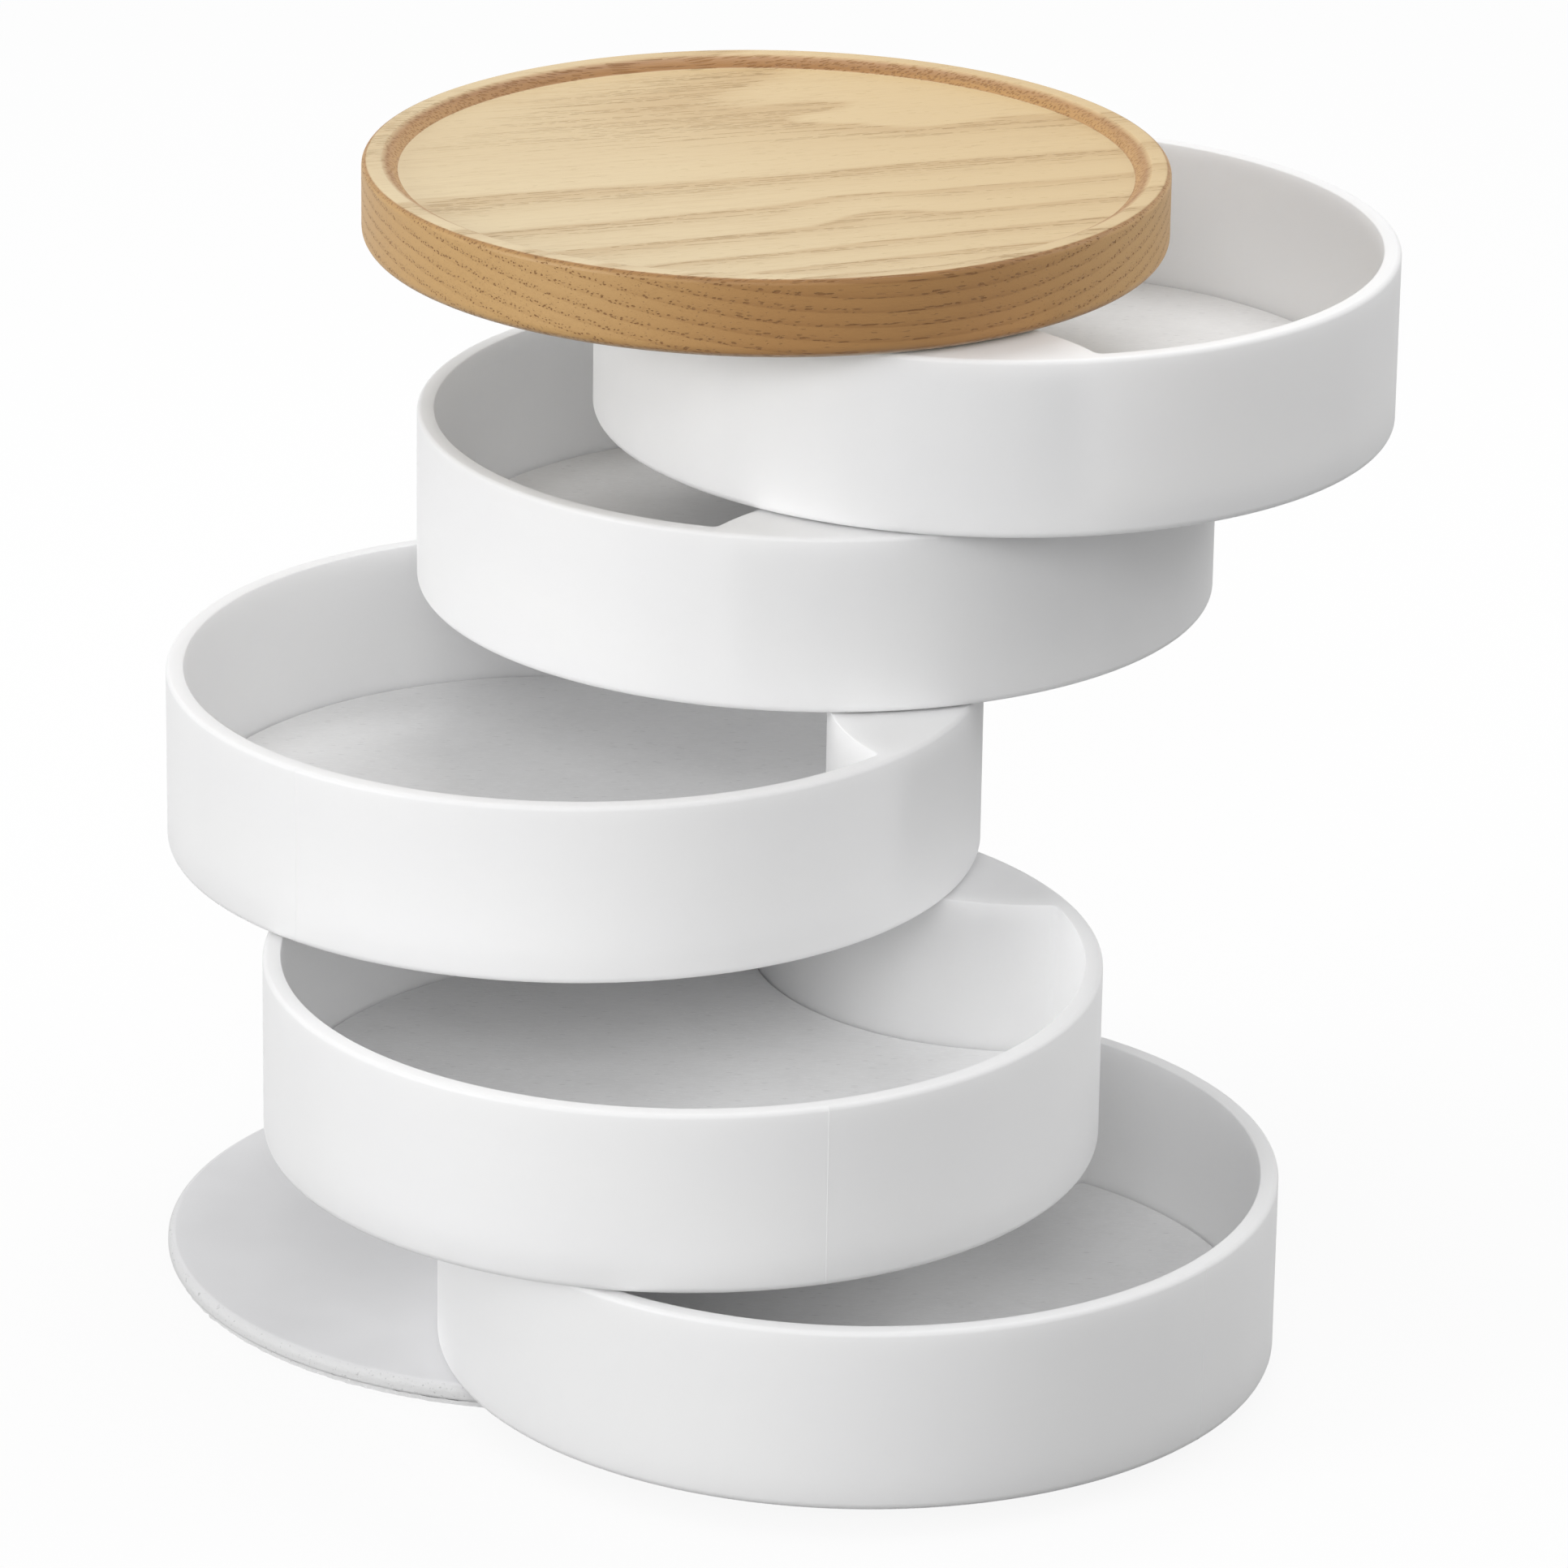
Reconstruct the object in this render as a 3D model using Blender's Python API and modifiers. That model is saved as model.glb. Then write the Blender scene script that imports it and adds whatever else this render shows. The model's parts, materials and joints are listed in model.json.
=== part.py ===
"""Tiered accessory box: five round trays and a wooden lid that fan out on one upright pivot screw.

Lengths are in metres and angles in degrees, with +Z up and +Y away from the front.
The origin is the centre of the base's underside. Every level is a disc that hangs on the pivot
axis near its edge, and its heading is the direction from the pivot axis to the disc's centre.
"""

import math

import bmesh
import bpy

# Fits between pieces
SEAT_GAP = 0.0003  # between a piece and the seat that holds it
RUNNING_GAP = 0.0003  # round the pivot and at the faces that slide
LEVEL_GAP = 0.0003  # between one level and the next
OVERRUN = 0.001  # how far a cutter runs past the face that it opens
MERGE_DISTANCE = 0.00001

# Stack
DISC_RADIUS = 0.060  # of the trays, which the lid and the base follow
PIVOT_INSET = 0.0116  # from the trays' edge in to the pivot axis
BASE_HEADING = 192.7
LID_HEADING = 115.5
TRAY_HEADINGS = (73.6, 105.2, 170.2, 230.4, 263.6)  # top tray first

# Trays
TRAY_HEIGHT = 0.0269
TRAY_WALL = 0.0026
TRAY_FLOOR = 0.0022
TRAY_RIM_ROUND = 0.0007
TRAY_MOUTH_ROUND = 0.0003
TRAY_FOOT_ROUND = 0.0012

# Boss of a tray: a hollow corner column, closed on top, that holds the pivot tube
BOSS_FACE_RADIUS = 0.0405
BOSS_FACE_OFFSET = 0.0103  # from the pivot axis in to the face
BOSS_WALL = 0.0022
BOSS_TOP = 0.0025
BOSS_CORNER_ROUND = 0.0012
TUBE_WALL = 0.0022
RIB_THICKNESS = 0.0013
CROSS_RIB_SHARES = (-0.68, -0.36, 0.36, 0.68)  # of half the boss's inner width

# Tray liners
LINER_THICKNESS = 0.0015
LINER_EDGE_GAP = 0.0004

# Spacers between the levels
SPACER_INSET = 0.0002  # from the tube's outside
SPACER_THICKNESS = 0.0005

# Lid
LID_INSET = 0.0001  # from the trays' edge
LID_THICKNESS = 0.0120
LID_RIM_WIDTH = 0.0027
LID_SLOPE_WIDTH = 0.0027
LID_SLOPE_BULGE = 0.00026
LID_RECESS_DEPTH = 0.0017
LID_TOP_ROUND = 0.0010
LID_FOOT_ROUND = 0.0020

# Threaded insert in the lid's underside
INSERT_WALL = 0.0009
INSERT_LENGTH = 0.0075
INSERT_FLANGE_WIDTH = 0.0013
INSERT_FLANGE_THICKNESS = 0.0008
INSERT_GROOVE_DEPTH = 0.0005
INSERT_GROOVE_WIDTH = 0.0012
INSERT_HEADROOM = 0.0006

# Base
PLATE_INSET = 0.0004  # from the trays' edge
PLATE_THICKNESS = 0.0024
PLATE_TOP_ROUND = 0.0012
PLATE_FOOT_ROUND = 0.0006
PAD_INSET = 0.0012
PAD_THICKNESS = 0.0006

# Pivot screw and the washer under its head
SCREW_RADIUS = 0.0025
SCREW_TIP_CHAMFER = 0.0004
SCREW_TIP_GAP = 0.0005  # from the screw's tip to the insert's top
HEAD_CLEARANCE = 0.0004  # from the table to the screw's head
HEAD_LEDGE = 0.0025  # from the shank out to the head's edge
HEAD_THICKNESS = 0.0010
HEAD_CHAMFER = 0.0002
SOCKET_WIDTH = 0.0030  # across the flats
SOCKET_DEPTH = 0.0028
WASHER_THICKNESS = 0.0004

# Facets
DISC_STEPS = 64
WALL_STEPS = 52
SMALL_STEPS = 20
ROUND_STEPS = 2
LID_STEPS = 4
FACE_STEPS = 12
HEX_SIDES = 6
SHARP_ANGLE = 35.0

# Radii and reaches that follow from the sizes above
PIVOT_REACH = DISC_RADIUS - PIVOT_INSET  # from the pivot axis to each disc's centre
BOSS_FACE_REACH = PIVOT_REACH - BOSS_FACE_OFFSET + BOSS_FACE_RADIUS  # to the arc's centre
LID_RADIUS = DISC_RADIUS - LID_INSET
PLATE_RADIUS = DISC_RADIUS - PLATE_INSET
BORE_RADIUS = SCREW_RADIUS + RUNNING_GAP
TUBE_RADIUS = BORE_RADIUS + TUBE_WALL
SPACER_RADIUS = TUBE_RADIUS - SPACER_INSET
INSERT_RADIUS = BORE_RADIUS + INSERT_WALL
INSERT_FLANGE_RADIUS = INSERT_RADIUS + INSERT_FLANGE_WIDTH
HEAD_RADIUS = SCREW_RADIUS + HEAD_LEDGE
COUNTERBORE_RADIUS = HEAD_RADIUS + 2 * RUNNING_GAP

# Heights that follow from the sizes above
PLATE_BOTTOM = PAD_THICKNESS + SEAT_GAP
PLATE_TOP = PLATE_BOTTOM + PLATE_THICKNESS
TRAY_PITCH = TRAY_HEIGHT + LEVEL_GAP
LID_BOTTOM = PLATE_TOP + len(TRAY_HEADINGS) * TRAY_PITCH + LEVEL_GAP
SPACER_POCKET = SPACER_THICKNESS + RUNNING_GAP
INSERT_BOTTOM = SPACER_POCKET
INSERT_TOP = INSERT_BOTTOM + INSERT_LENGTH
WASHER_BOTTOM = HEAD_CLEARANCE + HEAD_THICKNESS + RUNNING_GAP
COUNTERBORE_TOP = WASHER_BOTTOM + WASHER_THICKNESS + RUNNING_GAP

# Colours, as red, green and blue
ABS_WHITE = (0.86, 0.86, 0.855)
FELT_GREY = (0.62, 0.62, 0.62)
ASH_WOOD = (0.74, 0.56, 0.35)
COAT_WHITE = (0.78, 0.78, 0.78)
PAD_GREY = (0.55, 0.55, 0.55)
BRASS = (0.78, 0.57, 0.27)
STEEL = (0.62, 0.62, 0.63)
NYLON = (0.82, 0.82, 0.79)


def clear_scene():
    """Removes every object, so that the model starts empty."""
    for item in list(bpy.data.objects):
        bpy.data.objects.remove(item, do_unlink=True)


def new_collection(name):
    """Adds a collection to the scene."""
    collection = bpy.data.collections.new(name)
    bpy.context.scene.collection.children.link(collection)
    return collection


def new_material(name, colour, roughness, metallic=0.0):
    """Makes a Principled material of one colour."""
    material = bpy.data.materials.new(name)
    material.use_nodes = True
    shader = material.node_tree.nodes["Principled BSDF"]
    shader.inputs["Base Color"].default_value = (*colour, 1.0)
    shader.inputs["Roughness"].default_value = roughness
    shader.inputs["Metallic"].default_value = metallic
    return material


def arc(centre, radius, start, end, steps):
    """Points of an arc from one angle in radians to another, with both ends."""
    points = []
    for step in range(steps + 1):
        angle = start + (end - start) * step / steps
        points.append((centre[0] + radius * math.cos(angle), centre[1] + radius * math.sin(angle)))
    return points


def round_corner(corner, radius, start, steps=ROUND_STEPS):
    """Quarter round of a profile, run clockwise from the start angle, inside a square corner."""
    middle = start - math.pi / 4
    side = radius * math.sqrt(2)
    centre = (corner[0] - side * math.cos(middle), corner[1] - side * math.sin(middle))
    return arc(centre, radius, start, start - math.pi / 2, steps)


def working_object(name, mesh, collection):
    """Links a mesh to the scene as an object that later steps cut or turn."""
    worker = bpy.data.objects.new(name, mesh)
    collection.objects.link(worker)
    return worker


def mark_cutter(cutter):
    """Shows a cutter as wire and keeps it out of the model."""
    cutter.hide_render = True
    cutter.display_type = "WIRE"
    return cutter


def baked_mesh(worker):
    """Mesh of a working object with its modifiers applied; the object goes."""
    bpy.context.view_layer.update()
    depsgraph = bpy.context.evaluated_depsgraph_get()
    mesh = bpy.data.meshes.new_from_object(worker.evaluated_get(depsgraph))
    mesh.name = worker.name
    bpy.data.objects.remove(worker, do_unlink=True)
    return mesh


def turned(name, profile, collection, steps=DISC_STEPS, closed=False):
    """Turns a profile of (radius, height) points, listed down its outer side, about Z."""
    points = [(radius, 0.0, height) for radius, height in profile]
    edges = [(index, index + 1) for index in range(len(points) - 1)]
    if closed:
        edges.append((len(points) - 1, 0))
    mesh = bpy.data.meshes.new(name)
    mesh.from_pydata(points, edges, [])
    worker = working_object(name, mesh, collection)
    screw = worker.modifiers.new("turn", "SCREW")
    screw.steps = steps
    screw.render_steps = steps
    screw.use_merge_vertices = True
    screw.merge_threshold = MERGE_DISTANCE
    return worker


def extruded(name, outline, bottom, top, collection):
    """Prism of a flat outline between two heights, made a mesh with welded caps."""
    curve = bpy.data.curves.new(name, "CURVE")
    curve.dimensions = "2D"
    curve.fill_mode = "BOTH"
    curve.extrude = (top - bottom) / 2
    spline = curve.splines.new("POLY")
    spline.points.add(len(outline) - 1)
    for point, (x, y) in zip(spline.points, outline):
        point.co = (x, y, 0.0, 1.0)
    spline.use_cyclic_u = True
    mesh = baked_mesh(working_object(name, curve, collection))
    body = bmesh.new()
    body.from_mesh(mesh)
    bmesh.ops.remove_doubles(body, verts=body.verts, dist=MERGE_DISTANCE)
    bmesh.ops.translate(body, verts=body.verts, vec=(0.0, 0.0, (bottom + top) / 2))
    bmesh.ops.recalc_face_normals(body, faces=body.faces)
    body.to_mesh(mesh)
    body.free()
    return working_object(name, mesh, collection)


def rod(name, radius, bottom, top, place, collection, sides=SMALL_STEPS):
    """Upright round or six-sided bar at a place (x, y)."""
    body = bmesh.new()
    bmesh.ops.create_cone(
        body, cap_ends=True, segments=sides, radius1=radius, radius2=radius, depth=top - bottom
    )
    bmesh.ops.translate(body, verts=body.verts, vec=(*place, (bottom + top) / 2))
    mesh = bpy.data.meshes.new(name)
    body.to_mesh(mesh)
    body.free()
    return working_object(name, mesh, collection)


def cut(worker, cutter):
    """Cuts a mesh cutter out of a working object."""
    boolean = worker.modifiers.new(cutter.name, "BOOLEAN")
    boolean.operation = "DIFFERENCE"
    boolean.object = mark_cutter(cutter)


def finish_mesh(mesh, material):
    """Shades the round faces smooth, keeps the edges sharp and gives the mesh its material."""
    mesh.shade_smooth()
    mesh.set_sharp_from_angle(angle=math.radians(SHARP_ANGLE))
    mesh.materials.clear()
    mesh.materials.append(material)
    return mesh


def corner_angles(wall_radius, face_radius, corner_radius, side):
    """Places the round where a circle about the tray's centre meets the boss face's circle.

    The side is 1 where the round lies outside the face's circle, in the tray's hollow, and -1
    where it lies inside, in the boss. Returns the round's centre and the angles at which it
    touches the wall and the face.
    """
    to_wall = wall_radius - corner_radius
    to_face = face_radius + side * corner_radius
    x = (to_face**2 - to_wall**2 - BOSS_FACE_REACH**2) / (2 * BOSS_FACE_REACH)
    y = math.sqrt(to_wall**2 - x**2)
    return (x, y), math.atan2(y, x), math.atan2(y, x + BOSS_FACE_REACH)


def mirrored(points):
    """The same points below the X axis, in reverse order."""
    return [(x, -y) for x, y in reversed(points)]


def hollow_outline(inset):
    """Outline of the tray's hollow, drawn in from its walls: a disc with the boss's face bitten out."""
    wall_radius = DISC_RADIUS - TRAY_WALL - inset
    face_radius = BOSS_FACE_RADIUS + inset
    centre, at_wall, at_face = corner_angles(wall_radius, face_radius, BOSS_CORNER_ROUND, 1)
    wall = arc((0.0, 0.0), wall_radius, -at_wall, at_wall, WALL_STEPS)
    corner = arc(centre, BOSS_CORNER_ROUND, at_wall, at_face + math.pi, ROUND_STEPS)
    face = arc((-BOSS_FACE_REACH, 0.0), face_radius, at_face, -at_face, FACE_STEPS)
    return wall[:-1] + corner[:-1] + face[:-1] + mirrored(corner)[:-1]


def boss_outline():
    """Outline of the space inside the boss: the lens between its face and the tray's wall."""
    wall_radius = DISC_RADIUS - TRAY_WALL
    face_radius = BOSS_FACE_RADIUS - BOSS_WALL
    centre, at_wall, at_face = corner_angles(wall_radius, face_radius, BOSS_CORNER_ROUND, -1)
    face = arc((-BOSS_FACE_REACH, 0.0), face_radius, -at_face, at_face, FACE_STEPS)
    corner = arc(centre, BOSS_CORNER_ROUND, at_face, at_wall, ROUND_STEPS)
    wall = arc((0.0, 0.0), wall_radius, at_wall, 2 * math.pi - at_wall, FACE_STEPS)
    return face[:-1] + corner[:-1] + wall[:-1] + mirrored(corner)[:-1]


def boss_ribs(outline, cutters):
    """Upright ribs across the boss at each share of its width, and one along it through the tube."""
    half_width = max(y for _, y in outline)
    near = min(x for x, _ in outline) - BOSS_WALL / 2
    far = max(x for x, _ in outline) + BOSS_WALL / 2
    height = TRAY_HEIGHT - SPACER_POCKET
    ribs = bmesh.new()
    for share in CROSS_RIB_SHARES:
        rib = bmesh.ops.create_cube(ribs, size=1.0)["verts"]
        bmesh.ops.scale(ribs, verts=rib, vec=(far - near, RIB_THICKNESS, height))
        place = ((near + far) / 2, share * half_width, SPACER_POCKET + height / 2)
        bmesh.ops.translate(ribs, verts=rib, vec=place)
    spine = bmesh.ops.create_cube(ribs, size=1.0)["verts"]
    bmesh.ops.scale(ribs, verts=spine, vec=(far - near, RIB_THICKNESS, height))
    bmesh.ops.translate(ribs, verts=spine, vec=((near + far) / 2, 0.0, SPACER_POCKET + height / 2))
    mesh = bpy.data.meshes.new("rib_space")
    ribs.to_mesh(mesh)
    ribs.free()
    return working_object("rib_space", mesh, cutters)


def boss_cells(cutters):
    """Cutter that hollows the boss from below and leaves its tube and ribs, set back for a spacer."""
    outline = boss_outline()
    lens = extruded("boss_cells", outline, -OVERRUN, TRAY_HEIGHT - BOSS_TOP, cutters)
    cut(lens, boss_ribs(outline, cutters))
    cut(lens, rod("tube_space", TUBE_RADIUS, SPACER_POCKET, TRAY_HEIGHT, (-PIVOT_REACH, 0.0), cutters))
    return working_object("boss_cells", baked_mesh(lens), cutters)


def round_mouth(mesh):
    """Rounds the hollow's mouth, at the rim and along the top of the boss."""
    body = bmesh.new()
    body.from_mesh(mesh)
    inner_limit = DISC_RADIUS - TRAY_WALL / 2
    mouth = []
    for edge in body.edges:
        level = all(abs(vert.co.z - TRAY_HEIGHT) < MERGE_DISTANCE for vert in edge.verts)
        inside = all(vert.co.xy.length < inner_limit for vert in edge.verts)
        if level and inside and edge.calc_face_angle() > math.radians(SHARP_ANGLE):
            mouth.append(edge)
    bmesh.ops.bevel(
        body,
        geom=mouth,
        offset=TRAY_MOUTH_ROUND,
        segments=ROUND_STEPS,
        profile=0.5,
        affect="EDGES",
        clamp_overlap=True,
    )
    body.to_mesh(mesh)
    body.free()
    return mesh


def tray_mesh(cutters):
    """Tray about its own centre, its bottom at zero, with the pivot axis on its -X side."""
    profile = [(0.0, TRAY_HEIGHT)]
    profile += round_corner((DISC_RADIUS, TRAY_HEIGHT), TRAY_RIM_ROUND, math.pi / 2)
    profile += round_corner((DISC_RADIUS, 0.0), TRAY_FOOT_ROUND, 0.0)
    profile += [(0.0, 0.0)]
    tray = turned("tray", profile, cutters)
    hollow = hollow_outline(0.0)
    cut(tray, extruded("tray_hollow", hollow, TRAY_FLOOR, TRAY_HEIGHT + OVERRUN, cutters))
    tray = working_object("tray", round_mouth(baked_mesh(tray)), cutters)
    bore_top = TRAY_HEIGHT + OVERRUN
    cut(tray, boss_cells(cutters))
    cut(tray, rod("tube_bore", BORE_RADIUS, -OVERRUN, bore_top, (-PIVOT_REACH, 0.0), cutters))
    return baked_mesh(tray)


def liner_mesh(cutters):
    """Felt liner of a tray, its underside at zero, cut to clear the walls and the boss."""
    return baked_mesh(extruded("liner", hollow_outline(LINER_EDGE_GAP), 0.0, LINER_THICKNESS, cutters))


def ring_mesh(name, inner_radius, outer_radius, thickness, collection):
    """Flat ring with its underside at zero."""
    profile = [
        (inner_radius, thickness),
        (outer_radius, thickness),
        (outer_radius, 0.0),
        (inner_radius, 0.0),
    ]
    return baked_mesh(turned(name, profile, collection, SMALL_STEPS, closed=True))


def lid_profile():
    """Profile of the lid: a dish inside a bulging slope, a flat rim and rounded outer edges."""
    floor = LID_THICKNESS - LID_RECESS_DEPTH
    floor_radius = LID_RADIUS - LID_RIM_WIDTH - LID_SLOPE_WIDTH
    slope_length = math.hypot(LID_SLOPE_WIDTH, LID_RECESS_DEPTH)
    profile = [(0.0, floor)]
    for step in range(LID_STEPS + 1):
        share = step / LID_STEPS
        bulge = 4 * LID_SLOPE_BULGE * share * (1 - share)
        radius = floor_radius + LID_SLOPE_WIDTH * share - bulge * LID_RECESS_DEPTH / slope_length
        height = floor + LID_RECESS_DEPTH * share + bulge * LID_SLOPE_WIDTH / slope_length
        profile.append((radius, height))
    profile += round_corner((LID_RADIUS, LID_THICKNESS), LID_TOP_ROUND, math.pi / 2)
    profile += round_corner((LID_RADIUS, 0.0), LID_FOOT_ROUND, 0.0, LID_STEPS)
    profile += [(0.0, 0.0)]
    return profile


def lid_mesh(cutters):
    """Wooden lid about its own centre, its bottom at zero, bored for the threaded insert."""
    lid = turned("lid", lid_profile(), cutters)
    flange_top = INSERT_BOTTOM + INSERT_FLANGE_THICKNESS + SEAT_GAP
    flange_radius = INSERT_FLANGE_RADIUS + SEAT_GAP
    body_top = INSERT_TOP + INSERT_HEADROOM
    axis = (-PIVOT_REACH, 0.0)
    cut(lid, rod("insert_flange_seat", flange_radius, -OVERRUN, flange_top, axis, cutters))
    cut(lid, rod("insert_bore", INSERT_RADIUS + SEAT_GAP, -OVERRUN, body_top, axis, cutters))
    return baked_mesh(lid)


def insert_mesh(cutters):
    """Flanged threaded insert, its flange's face at zero, with a groove between its gripping bands."""
    groove_radius = INSERT_RADIUS - INSERT_GROOVE_DEPTH
    band = (INSERT_LENGTH - INSERT_FLANGE_THICKNESS - INSERT_GROOVE_WIDTH) / 2
    profile = [
        (BORE_RADIUS, INSERT_LENGTH),
        (INSERT_RADIUS, INSERT_LENGTH),
        (INSERT_RADIUS, INSERT_LENGTH - band),
        (groove_radius, INSERT_LENGTH - band),
        (groove_radius, INSERT_FLANGE_THICKNESS + band),
        (INSERT_RADIUS, INSERT_FLANGE_THICKNESS + band),
        (INSERT_RADIUS, INSERT_FLANGE_THICKNESS),
        (INSERT_FLANGE_RADIUS, INSERT_FLANGE_THICKNESS),
        (INSERT_FLANGE_RADIUS, 0.0),
        (BORE_RADIUS, 0.0),
    ]
    return baked_mesh(turned("insert", profile, cutters, SMALL_STEPS, closed=True))


def plate_mesh(cutters):
    """Base plate about its own centre, its underside at zero, bored and counterbored at the pivot."""
    profile = [(0.0, PLATE_THICKNESS)]
    profile += round_corner((PLATE_RADIUS, PLATE_THICKNESS), PLATE_TOP_ROUND, math.pi / 2)
    profile += round_corner((PLATE_RADIUS, 0.0), PLATE_FOOT_ROUND, 0.0)
    profile += [(0.0, 0.0)]
    plate = turned("plate", profile, cutters)
    axis = (-PIVOT_REACH, 0.0)
    bore_top = PLATE_THICKNESS + OVERRUN
    seat_top = COUNTERBORE_TOP - PLATE_BOTTOM
    cut(plate, rod("plate_counterbore", COUNTERBORE_RADIUS, -OVERRUN, seat_top, axis, cutters))
    cut(plate, rod("plate_bore", BORE_RADIUS, -OVERRUN, bore_top, axis, cutters))
    return baked_mesh(plate)


def pad_mesh(cutters):
    """Felt pad under the base plate, its underside at zero, open at the screw's head."""
    radius = PLATE_RADIUS - PAD_INSET
    profile = [(0.0, PAD_THICKNESS), (radius, PAD_THICKNESS), (radius, 0.0), (0.0, 0.0)]
    pad = turned("pad", profile, cutters)
    opening_top = PAD_THICKNESS + OVERRUN
    opening_radius = COUNTERBORE_RADIUS + PAD_INSET
    cut(pad, rod("pad_opening", opening_radius, -OVERRUN, opening_top, (-PIVOT_REACH, 0.0), cutters))
    return baked_mesh(pad)


def screw_mesh(cutters):
    """Pivot screw about its axis, its head's underside at zero, with a hexagon socket below."""
    tip = LID_BOTTOM + INSERT_TOP - SCREW_TIP_GAP - HEAD_CLEARANCE
    profile = [
        (0.0, tip),
        (SCREW_RADIUS - SCREW_TIP_CHAMFER, tip),
        (SCREW_RADIUS, tip - SCREW_TIP_CHAMFER),
        (SCREW_RADIUS, HEAD_THICKNESS),
        (HEAD_RADIUS, HEAD_THICKNESS),
        (HEAD_RADIUS, HEAD_CHAMFER),
        (HEAD_RADIUS - HEAD_CHAMFER, 0.0),
        (0.0, 0.0),
    ]
    screw = turned("screw", profile, cutters, SMALL_STEPS)
    socket_radius = SOCKET_WIDTH / 2 / math.cos(math.pi / HEX_SIDES)
    socket = rod("screw_socket", socket_radius, -OVERRUN, SOCKET_DEPTH, (0.0, 0.0), cutters, HEX_SIDES)
    cut(screw, socket)
    return baked_mesh(screw)


def pivot_empty(name, heading, parts):
    """Empty on the pivot axis, turned to a level's heading, that carries the level's pieces."""
    base_angle = math.radians(BASE_HEADING)
    empty = bpy.data.objects.new(name, None)
    empty.location = (-PIVOT_REACH * math.cos(base_angle), -PIVOT_REACH * math.sin(base_angle), 0.0)
    empty.rotation_euler = (0.0, 0.0, math.radians(heading))
    empty.empty_display_size = TRAY_WALL
    parts.objects.link(empty)
    return empty


def place(name, mesh, parent, reach, height, parts):
    """Adds a piece to a level, at a reach from the pivot axis along the level's heading."""
    piece = bpy.data.objects.new(name, mesh)
    piece.parent = parent
    piece.location = (reach, 0.0, height)
    parts.objects.link(piece)
    return piece


def build_base(parts, cutters):
    """Base plate with its felt pad."""
    axis = pivot_empty("base_axis", BASE_HEADING, parts)
    plate = finish_mesh(plate_mesh(cutters), new_material("coated_steel", COAT_WHITE, 0.5))
    pad = finish_mesh(pad_mesh(cutters), new_material("pad_felt", PAD_GREY, 0.95))
    place("base_plate", plate, axis, PIVOT_REACH, PLATE_BOTTOM, parts)
    place("base_pad", pad, axis, PIVOT_REACH, 0.0, parts)


def build_trays(spacer, parts, cutters):
    """Five trays that share one shape, each with its liner and the spacer below its tube."""
    tray = finish_mesh(tray_mesh(cutters), new_material("tray_plastic", ABS_WHITE, 0.45))
    liner = finish_mesh(liner_mesh(cutters), new_material("liner_felt", FELT_GREY, 0.95))
    for index, heading in enumerate(TRAY_HEADINGS):
        name = f"tray_{index + 1}"
        levels_below = len(TRAY_HEADINGS) - 1 - index
        bottom = PLATE_TOP + LEVEL_GAP + levels_below * TRAY_PITCH
        axis = pivot_empty(f"{name}_axis", heading, parts)
        place(f"{name}_shell", tray, axis, PIVOT_REACH, bottom, parts)
        place(f"{name}_liner", liner, axis, PIVOT_REACH, bottom + TRAY_FLOOR + SEAT_GAP, parts)
        place(f"{name}_spacer", spacer, axis, 0.0, bottom - LEVEL_GAP + RUNNING_GAP, parts)


def build_lid(spacer, parts, cutters):
    """Lid with its insert, the spacer below it, and the pivot screw that turns with it."""
    axis = pivot_empty("lid_axis", LID_HEADING, parts)
    board = finish_mesh(lid_mesh(cutters), new_material("ash", ASH_WOOD, 0.55))
    insert = finish_mesh(insert_mesh(cutters), new_material("brass", BRASS, 0.35, 1.0))
    screw = finish_mesh(screw_mesh(cutters), new_material("steel", STEEL, 0.3, 1.0))
    washer_radius = HEAD_RADIUS - HEAD_CHAMFER
    washer = ring_mesh("washer", BORE_RADIUS, washer_radius, WASHER_THICKNESS, cutters)
    washer = finish_mesh(washer, new_material("washer_nylon", NYLON, 0.5))
    place("lid_board", board, axis, PIVOT_REACH, LID_BOTTOM, parts)
    place("lid_insert", insert, axis, 0.0, LID_BOTTOM + INSERT_BOTTOM, parts)
    place("lid_spacer", spacer, axis, 0.0, LID_BOTTOM - LEVEL_GAP + RUNNING_GAP, parts)
    place("pivot_screw", screw, axis, 0.0, HEAD_CLEARANCE, parts)
    place("pivot_washer", washer, axis, 0.0, WASHER_BOTTOM, parts)


def main():
    """Builds the box from the base up."""
    clear_scene()
    parts = new_collection("tiered_accessory_box")
    cutters = new_collection("cutters")
    spacer = ring_mesh("spacer", BORE_RADIUS, SPACER_RADIUS, SPACER_THICKNESS, cutters)
    spacer = finish_mesh(spacer, new_material("spacer_nylon", NYLON, 0.5))
    build_base(parts, cutters)
    build_trays(spacer, parts, cutters)
    build_lid(spacer, parts, cutters)
    bpy.context.view_layer.update()


main()
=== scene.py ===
"""Looks of the tiered accessory box: moulded trays with felt liners, an ash lid and a coated base.

Lengths are in metres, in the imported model's frame. Lengths inside a finish are in millimetres.
Every level is drawn about its own centre, with the pivot on its -X side, and then put in place.
"""

import json
import logging
import math
from collections.abc import Callable, Iterable, Mapping, Sequence
from dataclasses import dataclass, replace
from enum import Enum

import bmesh
import bpy
from mathutils import Matrix, Vector, noise


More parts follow.
